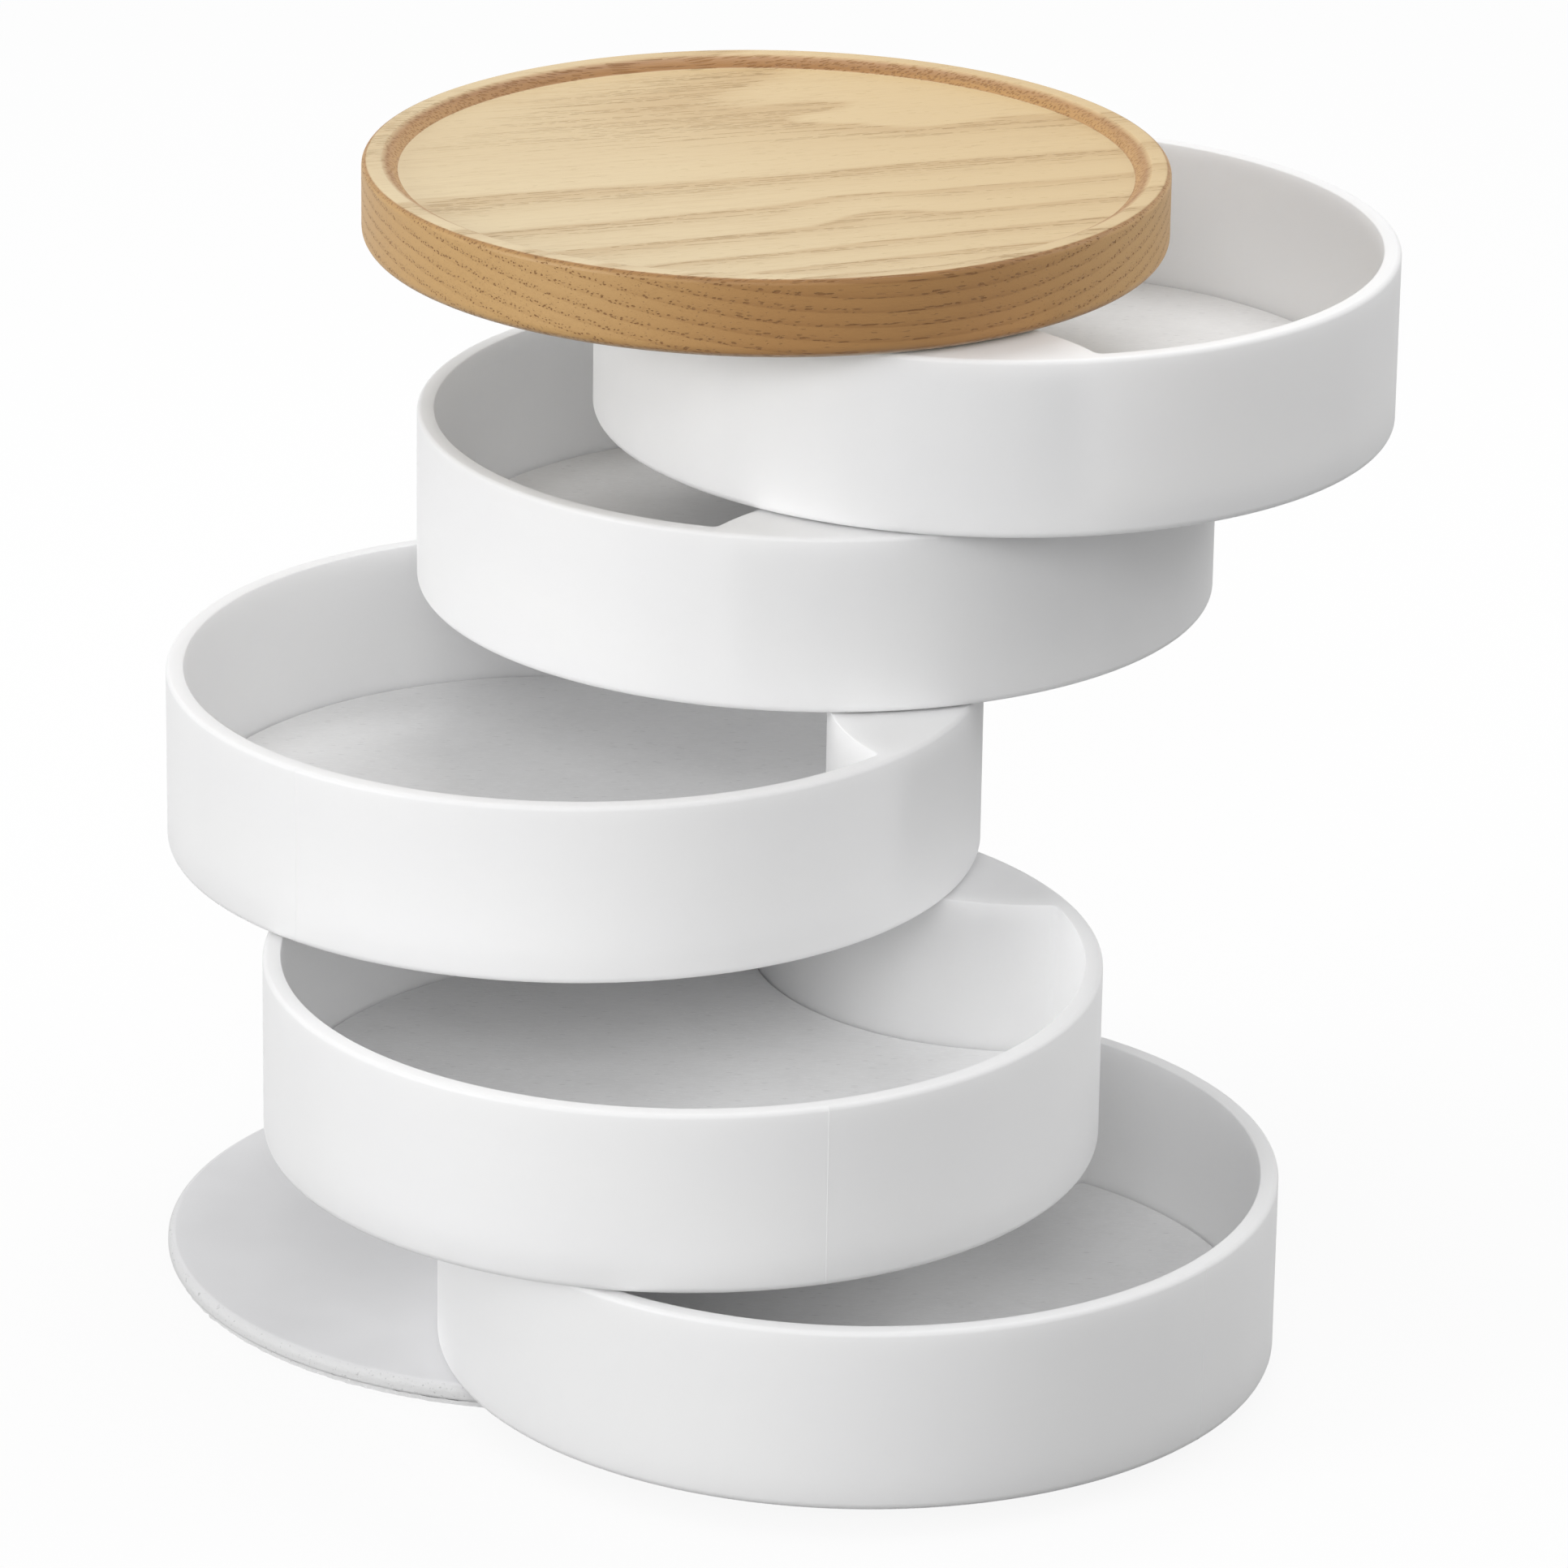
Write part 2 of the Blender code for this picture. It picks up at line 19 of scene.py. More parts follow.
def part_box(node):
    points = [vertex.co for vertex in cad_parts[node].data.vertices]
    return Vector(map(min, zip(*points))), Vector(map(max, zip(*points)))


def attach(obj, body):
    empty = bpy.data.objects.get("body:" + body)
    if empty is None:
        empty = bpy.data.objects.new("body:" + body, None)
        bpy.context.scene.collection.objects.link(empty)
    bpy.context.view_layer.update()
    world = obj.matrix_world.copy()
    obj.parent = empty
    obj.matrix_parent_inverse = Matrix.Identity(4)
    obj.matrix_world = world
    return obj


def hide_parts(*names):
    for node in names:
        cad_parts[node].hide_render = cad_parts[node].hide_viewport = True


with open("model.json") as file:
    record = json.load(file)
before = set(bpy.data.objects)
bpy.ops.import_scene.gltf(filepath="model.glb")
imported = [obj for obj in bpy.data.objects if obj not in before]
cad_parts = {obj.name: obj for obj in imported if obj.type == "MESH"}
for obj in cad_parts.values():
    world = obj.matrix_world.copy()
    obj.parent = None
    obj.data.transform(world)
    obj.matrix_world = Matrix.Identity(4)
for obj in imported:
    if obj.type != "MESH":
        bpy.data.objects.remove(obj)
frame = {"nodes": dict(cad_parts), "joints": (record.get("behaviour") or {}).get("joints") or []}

log = logging.getLogger("accessory_box")

SHARP_DEGREES = 35.0
FULL_TURN = 2 * math.pi
MM_PER_M = 1000.0

# How far a cutting tool reaches past what it cuts
OVERRUN = 0.001

# How many parts the wide discs' turn and the small parts' turn have
DISC_STEPS = 256
SMALL_STEPS = 64

# The Mix node's colour sockets, which share their names with its other sockets
MIX_SHARE, MIX_FIRST, MIX_SECOND, MIX_RESULT = 0, 6, 7, 2

# Where soft noise passes from its low half to its high half
SOFT_SPREAD = (0.3, 0.7)

WHITE = (1.0, 1.0, 1.0)

# A stretch that leaves a place's height out
LEVEL_ONLY = (1.0, 1.0, 0.0)

Colour = tuple[float, float, float]
Span = tuple[float, float]
Corners = Sequence[bmesh.types.BMVert]
Operand = "Signal | float | tuple[float, float, float]"


class Level(Enum):
    """The levels of the stack, as the bodies are named."""

    BASE = "base"
    LID = "lid"
    TRAY_1 = "tray_1"
    TRAY_2 = "tray_2"
    TRAY_3 = "tray_3"
    TRAY_4 = "tray_4"
    TRAY_5 = "tray_5"


class Slot(Enum):
    """The record's material slots."""

    PLASTIC = "tray_plastic"
    LINER = "liner_felt"
    ASH = "ash"
    COAT = "coated_steel"
    PAD = "pad_felt"
    STEEL = "steel"


HEADINGS: Mapping[Level, float] = {
    Level.BASE: 192.7,
    Level.LID: 115.5,
    Level.TRAY_1: 73.6,
    Level.TRAY_2: 105.2,
    Level.TRAY_3: 170.2,
    Level.TRAY_4: 230.4,
    Level.TRAY_5: 263.6,
}


@dataclass(frozen=True)
class Patches:
    """How a noise lies on a piece.

    The stretch is how many patches lie to a millimetre, on all axes or on each. The detail is how
    many finer layers are added, the roughness how strong they are, and the turn is in degrees.
    """

    stretch: float | tuple[float, float, float]
    detail: float = 2.0
    roughness: float = 0.5
    turn: float = 0.0


def written(code: int) -> Colour:
    """Turns a colour as it is written, such as 0xE3CFA7, into linear red, green and blue."""
    shares = ((code >> shift & 0xFF) / 255 for shift in (16, 8, 0))
    return tuple(s / 12.92 if s <= 0.04045 else ((s + 0.055) / 1.055) ** 2.4 for s in shares)


def operator(operation: str, swapped: bool = False) -> Callable[["Signal", Operand], "Signal"]:
    """One of the operators of a signal.

    Args:
        operation: The operation of its Math node, or of its Vector Math node.
        swapped: Whether the signal stands to the right of the operator.

    Returns:
        The operator's method.
    """

    def combine(self: "Signal", other: Operand = 0.0) -> "Signal":
        """Adds the node and reads its result.

        Args:
            other: The other value, which a size without sign doesn't use.

        Returns:
            The result.
        """
        kind = "ShaderNodeVectorMath" if self.socket.type == "VECTOR" else "ShaderNodeMath"
        inputs = {0: other, 1: self} if swapped else {0: self, 1: other}
        return self.recipe.step(kind, {"operation": operation}, inputs)[0]

    return combine


class Signal:
    """An output of a shader step, so that shader maths reads as plain arithmetic."""

    def __init__(self, recipe: "Recipe", socket: bpy.types.NodeSocket) -> None:
        """Keeps the socket and the recipe that it belongs to."""
        self.recipe = recipe
        self.socket = socket

    __add__ = operator("ADD")
    __radd__ = operator("ADD", swapped=True)
    __sub__ = operator("SUBTRACT")
    __rsub__ = operator("SUBTRACT", swapped=True)
    __mul__ = operator("MULTIPLY")
    __truediv__ = operator("DIVIDE")
    __mod__ = operator("FLOORED_MODULO")
    __abs__ = operator("ABSOLUTE")


class Step:
    """A node that was added to a recipe, read by the name or place of an output."""

    def __init__(self, recipe: "Recipe", node: bpy.types.Node) -> None:
        """Keeps the node and the recipe that it belongs to."""
        self.recipe = recipe
        self.node = node

    def __getitem__(self, output: str | int) -> Signal:
        """One output of the node."""
        return Signal(self.recipe, self.node.outputs[output])


class Recipe:
    """A node tree that is written one step at a time, of a material or of the world."""

    def __init__(self, tree: bpy.types.NodeTree) -> None:
        """Keeps the tree that the steps go into."""
        self.tree = tree

    def fill(self, node: bpy.types.Node, inputs: Mapping[str | int, Operand]) -> None:
        """Sets or links a node's inputs.

        Args:
            node: The node.
            inputs: A value or a signal for each input's name or place.
        """
        for key, value in inputs.items():
            socket = node.inputs[key]
            if isinstance(value, Signal):
                self.tree.links.new(value.socket, socket)
            elif socket.type == "RGBA":
                socket.default_value = (*value[:3], 1.0)
            else:
                socket.default_value = value

    def step(
        self,
        kind: str,
        settings: Mapping[str, object] | None = None,
        inputs: Mapping[str | int, Operand] | None = None,
    ) -> Step:
        """Adds a node.

        Args:
            kind: The node's type.
            settings: Its settings, and for a ramp its stops as pairs of place and colour.
            inputs: A value or a signal for each input's name or place.

        Returns:
            The node, ready to be read.
        """
        node = self.tree.nodes.new(kind)
        for name, value in (settings or {}).items():
            if name == "stops":
                elements = node.color_ramp.elements
                while len(elements) < len(value):
                    elements.new(0.5)
                for element, (place, colour) in zip(elements, value):
                    element.position = place
                    element.color = (*colour, 1.0)
            else:
                setattr(node, name, value)
        self.fill(node, inputs or {})
        return Step(self, node)

    def millimetres(self, centre: Sequence[float] = (0.0, 0.0, 0.0), turn: float = 0.0) -> Signal:
        """Place in millimetres from a centre in metres, on axes turned by so many degrees."""
        place = self.step("ShaderNodeTexCoord")["Object"] - tuple(centre)
        return self.mapped(place, MM_PER_M, -turn)

    def mapped(
        self, place: Signal, stretch: float | tuple[float, float, float], turn: float = 0.0
    ) -> Signal:
        """Stretches a place along its axes and turns it about Z.

        Args:
            place: The place.
            stretch: The factor on all axes or on each.
            turn: The turn in degrees.

        Returns:
            The new place.
        """
        rotation = (0.0, 0.0, math.radians(turn))
        scale = stretch if isinstance(stretch, tuple) else (stretch, stretch, stretch)
        inputs = {"Vector": place, "Rotation": rotation, "Scale": scale}
        return self.step("ShaderNodeMapping", {"vector_type": "POINT"}, inputs)["Vector"]

    def length(self, vector: Signal) -> Signal:
        """Length of a vector."""
        return self.step("ShaderNodeVectorMath", {"operation": "LENGTH"}, {0: vector})["Value"]

    def parts(self, vector: Signal) -> Step:
        """A vector's three parts, to be read by the axis's name."""
        return self.step("ShaderNodeSeparateXYZ", {}, {0: vector})

    def cloud(self, place: Signal, patches: Patches) -> Signal:
        """Soft noise from 0 to 1.

        Args:
            place: Where the noise is read, in millimetres.
            patches: How it lies.

        Returns:
            The noise.
        """
        spot = self.mapped(place, patches.stretch, patches.turn)
        layers = {"Detail": patches.detail, "Roughness": patches.roughness}
        return self.step("ShaderNodeTexNoise", {}, {"Vector": spot, "Scale": 1.0, **layers})["Fac"]

    def cells(self, place: Signal, patches: Patches, dimensions: str = "3D") -> Signal:
        """Distance to the nearest of scattered points, of which about one lies in each patch.

        Args:
            place: Where the distance is read, in millimetres.
            patches: How the points lie.
            dimensions: 2D for upright lines of points, or 3D.

        Returns:
            The distance.
        """
        spot = self.mapped(place, patches.stretch, patches.turn)
        inputs = {"Vector": spot, "Scale": 1.0, "Randomness": 0.9}
        settings = {"voronoi_dimensions": dimensions, "feature": "F1"}
        return self.step("ShaderNodeTexVoronoi", settings, inputs)["Distance"]

    def fade(self, value: Signal, start: float, end: float) -> Signal:
        """Smooth passage from 0 at the start to 1 at the end.

        Args:
            value: The value that is followed.
            start: Where the passage starts.
            end: Where it ends, above the start.

        Returns:
            The passage.
        """
        settings = {"interpolation_type": "SMOOTHSTEP"}
        inputs = {"Value": value, "From Min": start, "From Max": end}
        return self.step("ShaderNodeMapRange", settings, inputs)["Result"]

    def mix(self, share: Operand, first: Operand, second: Operand) -> Signal:
        """Mix of two colours.

        Args:
            share: The share of the second colour.
            first: The first colour.
            second: The second colour.

        Returns:
            The mixed colour.
        """
        settings = {"data_type": "RGBA", "clamp_factor": True}
        inputs = {MIX_SHARE: share, MIX_FIRST: first, MIX_SECOND: second}
        return self.step("ShaderNodeMix", settings, inputs)[MIX_RESULT]

    def larger(self, first: Signal, second: Operand) -> Signal:
        """The larger of two values."""
        return self.step("ShaderNodeMath", {"operation": "MAXIMUM"}, {0: first, 1: second})[0]

    def surface(self, **inputs: Operand) -> None:
        """Sets or links inputs of the Principled shader, with _ for a space in an input's name."""
        shader = self.tree.nodes["Principled BSDF"]
        self.fill(shader, {name.replace("_", " "): value for name, value in inputs.items()})

    def relief(self, height: Signal, depth: float, strength: float = 0.6) -> Signal:
        """Normal that is bent by a height, of which 1 stands for a depth in millimetres."""
        inputs = {"Height": height, "Distance": depth / MM_PER_M, "Strength": strength}
        return self.step("ShaderNodeBump", {}, inputs)["Normal"]


@dataclass(frozen=True)
class Finish:
    """A finish, which writes its own shader."""

    name: str

    def write(self, recipe: Recipe) -> None:
        """Writes the shader's steps into a new material's recipe."""
        raise NotImplementedError

    def material(self) -> bpy.types.Material:
        """Makes the material.

        Returns:
            The material, with its shader written.
        """
        material = bpy.data.materials.new(self.name)
        material.use_nodes = True
        self.write(Recipe(material.node_tree))
        return material


@dataclass(frozen=True)
class MouldedPlastic(Finish):
    """Fine matte moulded plastic: faintly uneven in tone and sheen, with a fine spark texture.

    Some light passes through its thin walls: the share given as milky spreads over the distance
    given as scatter, in metres.
    """

    pale: Colour
    deep: Colour
    sheen_roughness: float = 0.42
    flow_sheen: float = 0.08
    texture_sheen: float = 0.05
    texture_depth: float = 0.006
    scatter: float = 0.006
    milky: float = 0.6
    flow: Patches = Patches((0.03, 0.03, 0.06), 3.0)
    texture: Patches = Patches(2.6, 3.0, 0.6)

    def write(self, recipe: Recipe) -> None:
        """Writes the shader's steps.

        Args:
            recipe: The new material's recipe.
        """
        place = recipe.millimetres()
        flow = recipe.cloud(place, self.flow)
        texture = recipe.cloud(place, self.texture)
        recipe.surface(
            Base_Color=recipe.mix(recipe.fade(flow, *SOFT_SPREAD), self.deep, self.pale),
            Roughness=self.sheen_roughness + flow * self.flow_sheen + texture * self.texture_sheen,
            IOR=1.5,
            Subsurface_Weight=self.milky,
            Subsurface_Radius=WHITE,
            Subsurface_Scale=self.scatter,
            Normal=recipe.relief(texture, self.texture_depth),
        )


@dataclass(frozen=True)
class PressedFelt(Finish):
    """Thin pressed felt: short fibres laid every way, soft mottling, pale flecks and dark hairs."""

    pale: Colour
    deep: Colour
    hair: Colour
    fibre_depth: float = 0.12
    fibre_spread: Span = (0.44, 0.78)
    fibre_share: float = 0.55
    fleck_edge: Span = (0.09, 0.2)
    gap_edge: Span = (0.44, 0.54)
    fleck_share: float = 0.8
    fleck_rise: float = 0.5
    hair_share: float = 0.25
    first_fibres: Patches = Patches((0.5, 2.8, 2.8), turn=12.0)
    more_fibres: Patches = Patches((0.55, 3.0, 3.0))
    more_turns: tuple[float, ...] = (57.0, 101.0, 149.0)
    mottle: Patches = Patches(0.09, 4.0, 0.6)
    flecks: tuple[Patches, ...] = (
        Patches((0.45, 1.6, 1.6), turn=8.0),
        Patches((0.55, 1.9, 1.9), turn=-38.0),
    )
    hairs: Patches = Patches((0.28, 1.3, 1.3), turn=24.0)
    gaps: Patches = Patches(0.5, 1.0)

    def strewn(self, recipe: Recipe, place: Signal, patches: Patches) -> Signal:
        """Scattered short flecks.

        Args:
            recipe: The recipe that the steps go into.
            place: The place on the piece in millimetres.
            patches: How the flecks lie.

        Returns:
            1 on the flecks and 0 between them.
        """
        spots = recipe.cells(place, patches)
        gaps = recipe.cloud(place, replace(self.gaps, turn=patches.turn))
        return (1.0 - recipe.fade(spots, *self.fleck_edge)) * recipe.fade(gaps, *self.gap_edge)

    def write(self, recipe: Recipe) -> None:
        """Writes the shader's steps.

        Args:
            recipe: The new material's recipe.
        """
        place = recipe.millimetres()
        fibres = recipe.cloud(place, self.first_fibres)
        for turn in self.more_turns:
            more = recipe.cloud(place, replace(self.more_fibres, turn=turn))
            fibres = recipe.larger(fibres, more)
        mottle = recipe.fade(recipe.cloud(place, self.mottle), *SOFT_SPREAD)
        spread = recipe.fade(fibres, *self.fibre_spread)
        tone = spread * self.fibre_share + mottle * (1 - self.fibre_share)
        felt = recipe.mix(tone, self.deep, self.pale)
        bright = recipe.larger(*(self.strewn(recipe, place, flecks) for flecks in self.flecks))
        felt = recipe.mix(bright * self.fleck_share, felt, WHITE)
        hairs = self.strewn(recipe, place, self.hairs)
        recipe.surface(
            Base_Color=recipe.mix(hairs * self.hair_share, felt, self.hair),
            Roughness=0.95,
            Specular_IOR_Level=0.2,
            Sheen_Weight=0.15,
            Normal=recipe.relief(fibres + bright * self.fleck_rise, self.fibre_depth),
        )


@dataclass(frozen=True)
class PowderCoat(Finish):
    """Matte powder coat: a light orange peel, and a rougher, beaded rim, painted slightly darker as
    shade to tone down the light that it catches.
    """

    pale: Colour
    deep: Colour
    # Painted shade: the rim's colour is darker than the coat, to tone down the light that the rim
    # catches.
    rim: Colour
    centre: tuple[float, float, float]
    rim_radius: float
    rim_width: float = 1.0
    rim_edge: float = 0.15
    rim_shade_share: float = 0.9
    peel_depth: float = 0.012
    bead_depth: float = 0.22
    peel: Patches = Patches(0.9)
    beads: Patches = Patches(1.3, 3.0, 0.6)
    patch: Patches = Patches(0.04)
    pits: Patches = Patches(1.7)
    pit_edge: Span = (0.62, 0.7)
    pit_share: float = 0.3
    pit_shade: Colour = (0.16, 0.16, 0.16)
    sheen_roughness: float = 0.5
    peel_sheen: float = 0.12
    rim_sheen: float = 0.15

    def write(self, recipe: Recipe) -> None:
        """Writes the shader's steps.

        Args:
            recipe: The new material's recipe.
        """
        place = recipe.millimetres(self.centre)
        reach = recipe.length(recipe.mapped(place, LEVEL_ONLY))
        ends = (self.rim_radius - self.rim_width, self.rim_radius - self.rim_edge)
        rim = recipe.fade(reach, *ends)
        peel = recipe.cloud(place, self.peel)
        beads = recipe.cloud(place, self.beads)
        patch = recipe.cloud(place, self.patch)
        pits = recipe.fade(recipe.cloud(place, self.pits), *self.pit_edge)
        coat = recipe.mix(recipe.fade(patch, *SOFT_SPREAD), self.deep, self.pale)
        # Painted shade on the rim: the share of the darker rim colour.
        coat = recipe.mix(rim * self.rim_shade_share, coat, self.rim)
        height = peel * (self.peel_depth / self.bead_depth) + beads * rim
        recipe.surface(
            Base_Color=recipe.mix(pits * rim * self.pit_share, coat, self.pit_shade),
            Roughness=self.sheen_roughness + peel * self.peel_sheen + rim * self.rim_sheen,
            Normal=recipe.relief(height, self.bead_depth),
        )


@dataclass(frozen=True)
class Swell:
    """A place where the rings swell up, or sink where the height is below zero, in millimetres."""

    place: tuple[float, float]
    reach: tuple[float, float]
    height: float

    def rise(self, recipe: Recipe, place: Signal) -> Signal:
        """How far the rings are lifted.

        Args:
            recipe: The recipe that the steps go into.
            place: The place along the fibres, across them and up.

        Returns:
            The rise at the place.
        """
        stretch = (1 / self.reach[0], 1 / self.reach[1], 0.0)
        distance = recipe.length(recipe.mapped(place - (*self.place, 0.0), stretch))
        return (1.0 - recipe.fade(distance, 0.0, 1.0)) * self.height


@dataclass(frozen=True)
class AshTimber(Finish):
    """Flat-sawn ash under a thin satin lacquer, grown as solid wood.

    The rings are wide arches along the fibres. They crown towards the back of the board, so that
    the back shows one broad flame and the front shows the rings as lines. The pores are tubes
    along the fibres: dots where the board is cut across them, and short dashes where it isn't.
    The underside is left bare, so it is paler and greyer.
    """

    centre: tuple[float, float, float]
    fibre_heading: float = 17.5
    ring_width: float = 2.15
    ring_phase: float = 0.209
    crown_place: float = 33.5
    arch: float = 0.00166
    skew: float = 0.00054
    swells: tuple[Swell, ...] = (
        Swell((9.0, -23.0), (15.0, 12.0), 0.8),
        Swell((30.0, 20.0), (18.0, 12.0), -0.45),
        Swell((17.0, 31.0), (12.0, 5.0), 0.32),
        Swell((16.0, 23.5), (10.0, 4.5), -0.3),
    )
    sway: Patches = Patches((0.012, 0.035, 0.05))
    sway_rise: float = 0.5
    tongue: Patches = Patches((0.02, 0.14, 0.14), 1.0)
    tongue_rise: float = 0.45
    ragged: Patches = Patches((0.07, 1.1, 1.1), 3.0, 0.6)
    ragged_rise: float = 0.42
    pore_spacing: float = 0.45
    pore_edge: Span = (0.18, 0.36)
    late_pore_edge: Span = (0.1, 0.22)
    late_pore_share: float = 0.5
    wander: Patches = Patches((0.07, 0.3, 0.3), 1.0)
    wander_reach: Span = (1.2, 0.8)
    broken: Patches = Patches((0.6, 2.4, 2.4), 1.0)
    broken_edge: Span = (0.42, 0.54)
    late_broken_edge: Span = (0.58, 0.66)
    early_end: Span = (0.18, 0.42)
    torn_pores: float = 0.8
    torn_hold: float = 0.06
    fibre: Patches = Patches((0.3, 5.0, 5.0), 2.0, 0.6)
    streak: Patches = Patches((0.07, 1.1, 1.1), 3.0, 0.55)
    broad: Patches = Patches((0.014, 0.06, 0.06), 3.0)
    early_shades: tuple[Span, ...] = ((0.0, 0.9), (0.04, 1.0), (0.12, 0.85), (0.22, 0.5))
    late_shades: tuple[Span, ...] = ((0.42, 0.22), (0.65, 0.0), (0.93, 0.0), (1.0, 0.7))
    level_edge: Span = (0.88, 0.985)
    slant_edge: Span = (0.35, 0.7)
    end_edge: Span = (0.2, 0.85)
    below_edge: Span = (0.5, 0.9)
    bare_share: float = 0.65
    grain_strength: tuple[float, float, float] = (0.3, 0.15, 0.05)
    drift_shares: tuple[float, float, float] = (0.5, 0.6, 0.85)
    torn_share: float = 0.4
    stain_strength: tuple[float, float, float, float] = (0.82, 0.25, 0.3, 0.22)
    sheen_roughness: float = 0.44
    pore_sheen: float = 0.2
    streak_sheen: float = 0.08
    grain_depth: float = 0.18
    grain_relief: float = 0.7
    fibre_rise: float = 0.25
    face_reach: Span = (-50.0, 50.0)
    face_cool: Colour = written(0xD6C198)
    face_warm: Colour = written(0xCDB282)
    face_deep: Colour = written(0xB18E5A)
    bare: Colour = written(0xE6DFD0)
    # Painted light and shade: the end-grain sides, left and right, are paler and the long-grain
    # sides, front and back, darker; partly the grain's own colour.
    end_pale_lit: Colour = written(0xC79F67)
    end_deep_lit: Colour = written(0xAC824C)
    long_pale_shaded: Colour = written(0xAD804B)
    long_deep_shaded: Colour = written(0x8E6234)
    pore: Colour = written(0x7C5028)

    def growth(self, recipe: Recipe, place: Signal) -> Signal:
        """Growth rings through the board.

        Args:
            recipe: The recipe that the steps go into.
            place: The place along the fibres, across them and up.

        Returns:
            How far the ring has grown at the place, from 0 to 1.
        """
        parts = recipe.parts(place)
        across = parts["Y"] - self.crown_place
        height = parts["Z"] + across * across * self.arch - parts["X"] * parts["Y"] * self.skew
        for swell in self.swells:
            height = height + swell.rise(recipe, place)
        uneven = (
            (self.sway, self.sway_rise),
            (self.tongue, self.tongue_rise),
            (self.ragged, self.ragged_rise),
        )
        for patches, rise in uneven:
            height = height + (recipe.cloud(place, patches) - 0.5) * rise
        return (height / self.ring_width + self.ring_phase) % 1.0

    def pores(self, recipe: Recipe, place: Signal, grown: Signal, slanted: Signal) -> Signal:
        """Open pores, dense at the start of each ring and sparse after it.

        Args:
            recipe: The recipe that the steps go into.
            place: The place along the fibres, across them and up.
            grown: How far the ring has grown at the place.
            slanted: 1 where the surface slants, which the cutter leaves torn, and 0 elsewhere.

        Returns:
            The depth of the pores from 0 to 1.
        """
        wander = recipe.cloud(place, self.wander)
        parts = recipe.parts(place)
        side, up = self.wander_reach
        across, height = parts["Y"] + wander * side, parts["Z"] + wander * up
        section = recipe.step("ShaderNodeCombineXYZ", {}, {"X": across, "Y": height})[0]
        spread = 1 / self.pore_spacing
        tubes = recipe.cells(section, Patches((spread, spread, 0.0)), "2D")
        broken = recipe.cloud(place, self.broken)
        early = 1.0 - recipe.fade(grown, *self.early_end)
        early = recipe.larger(early, slanted * self.torn_pores)
        held = recipe.fade(broken + slanted * self.torn_hold, *self.broken_edge)
        dense = (1.0 - recipe.fade(tubes, *self.pore_edge)) * held * early
        late = 1.0 - recipe.fade(tubes, *self.late_pore_edge)
        late = late * recipe.fade(broken, *self.late_broken_edge)
        return recipe.larger(dense, late * self.late_pore_share)

    def write(self, recipe: Recipe) -> None:
        """Writes the shader's steps.

        Args:
            recipe: The new material's recipe.
        """
        place = recipe.millimetres(self.centre, self.fibre_heading)
        grown = self.growth(recipe, place)
        facing = recipe.step("ShaderNodeTexCoord")["Normal"]
        axes = recipe.parts(facing)
        upright = abs(axes["Z"])
        level = recipe.fade(upright, *self.level_edge)
        slanted = recipe.fade(upright, *self.slant_edge) * (1.0 - level)
        pores = self.pores(recipe, place, grown, slanted)
        shades = self.early_shades + self.late_shades
        stops = [(share, (shade, shade, shade)) for share, shade in shades]
        ring = recipe.step("ShaderNodeValToRGB", {"stops": stops}, {"Fac": grown})["Color"]
        dark = recipe.step("ShaderNodeSeparateColor", {}, {0: ring})[0]
        fibre = recipe.cloud(place, self.fibre)
        streak = recipe.cloud(place, self.streak)
        broad = recipe.cloud(place, self.broad)

        turn = math.radians(self.fibre_heading)
        along = abs(axes["X"] * math.cos(turn) + axes["Y"] * math.sin(turn))
        long_grain_and_shade = 1.0 - recipe.fade(along, *self.end_edge)

        lengthways = recipe.parts(place)["X"]
        face = recipe.mix(recipe.fade(lengthways, *self.face_reach), self.face_cool, self.face_warm)
        # Painted light on the end-grain sides and painted shade on the long-grain sides, partly the
        # grain's own colour.
        edge = recipe.mix(long_grain_and_shade, self.end_pale_lit, self.long_pale_shaded)
        edge_deep = recipe.mix(long_grain_and_shade, self.end_deep_lit, self.long_deep_shaded)
        wood = recipe.mix(level, edge, face)
        deep = recipe.mix(level, edge_deep, self.face_deep)
        plain, on_long, on_level = self.grain_strength
        wood = recipe.mix(dark * (plain + long_grain_and_shade * on_long + level * on_level), wood, deep)
        below = recipe.fade(0.0 - axes["Z"], *self.below_edge)
        wood = recipe.mix(below * self.bare_share, wood, self.bare)
        wide, narrow, fine = self.drift_shares
        drift = (0.5 - broad) * wide + (0.5 - streak) * narrow + (0.5 - fibre) * fine
        wood = recipe.mix(recipe.larger(drift, 0.0) + slanted * self.torn_share, wood, deep)
        full, less_long, less_level, less_slanted = self.stain_strength
        stain = full - long_grain_and_shade * less_long - level * less_level - slanted * less_slanted
        recipe.surface(
            Base_Color=recipe.mix(pores * stain, wood, self.pore),
            Roughness=self.sheen_roughness + pores * self.pore_sheen + streak * self.streak_sheen,
            Normal=recipe.relief(
                fibre * self.fibre_rise - pores, self.grain_depth, self.grain_relief
            ),
        )


@dataclass(frozen=True)
class TurnedMetal(Finish):
    """Turned metal with fine tool marks round the pivot axis and a slightly uneven polish."""

    colour: Colour
    axis: tuple[float, float, float]
    polish: float
    mark_spacing: float = 42.0
    mark_depth: float = 0.004
    mark_relief: float = 0.5
    wear: Patches = Patches(0.5, 3.0)
    wear_edge: Span = (0.35, 0.7)
    wear_sheen: float = 0.15
    dulling: float = 0.82

    def write(self, recipe: Recipe) -> None:
        """Writes the shader's steps.

        Args:
            recipe: The new material's recipe.
        """
        place = recipe.millimetres(self.axis)
        reach = recipe.length(recipe.mapped(place, LEVEL_ONLY))
        turns = {0: reach * self.mark_spacing}
        marks = recipe.step("ShaderNodeMath", {"operation": "SINE"}, turns)[0]
        wear = recipe.cloud(place, self.wear)
        dull = tuple(self.dulling * share for share in self.colour)
        recipe.surface(
            Base_Color=recipe.mix(recipe.fade(wear, *self.wear_edge), self.colour, dull),
            Metallic=1.0,
            Roughness=self.polish + wear * self.wear_sheen,
            Normal=recipe.relief(marks, self.mark_depth, self.mark_relief),
        )


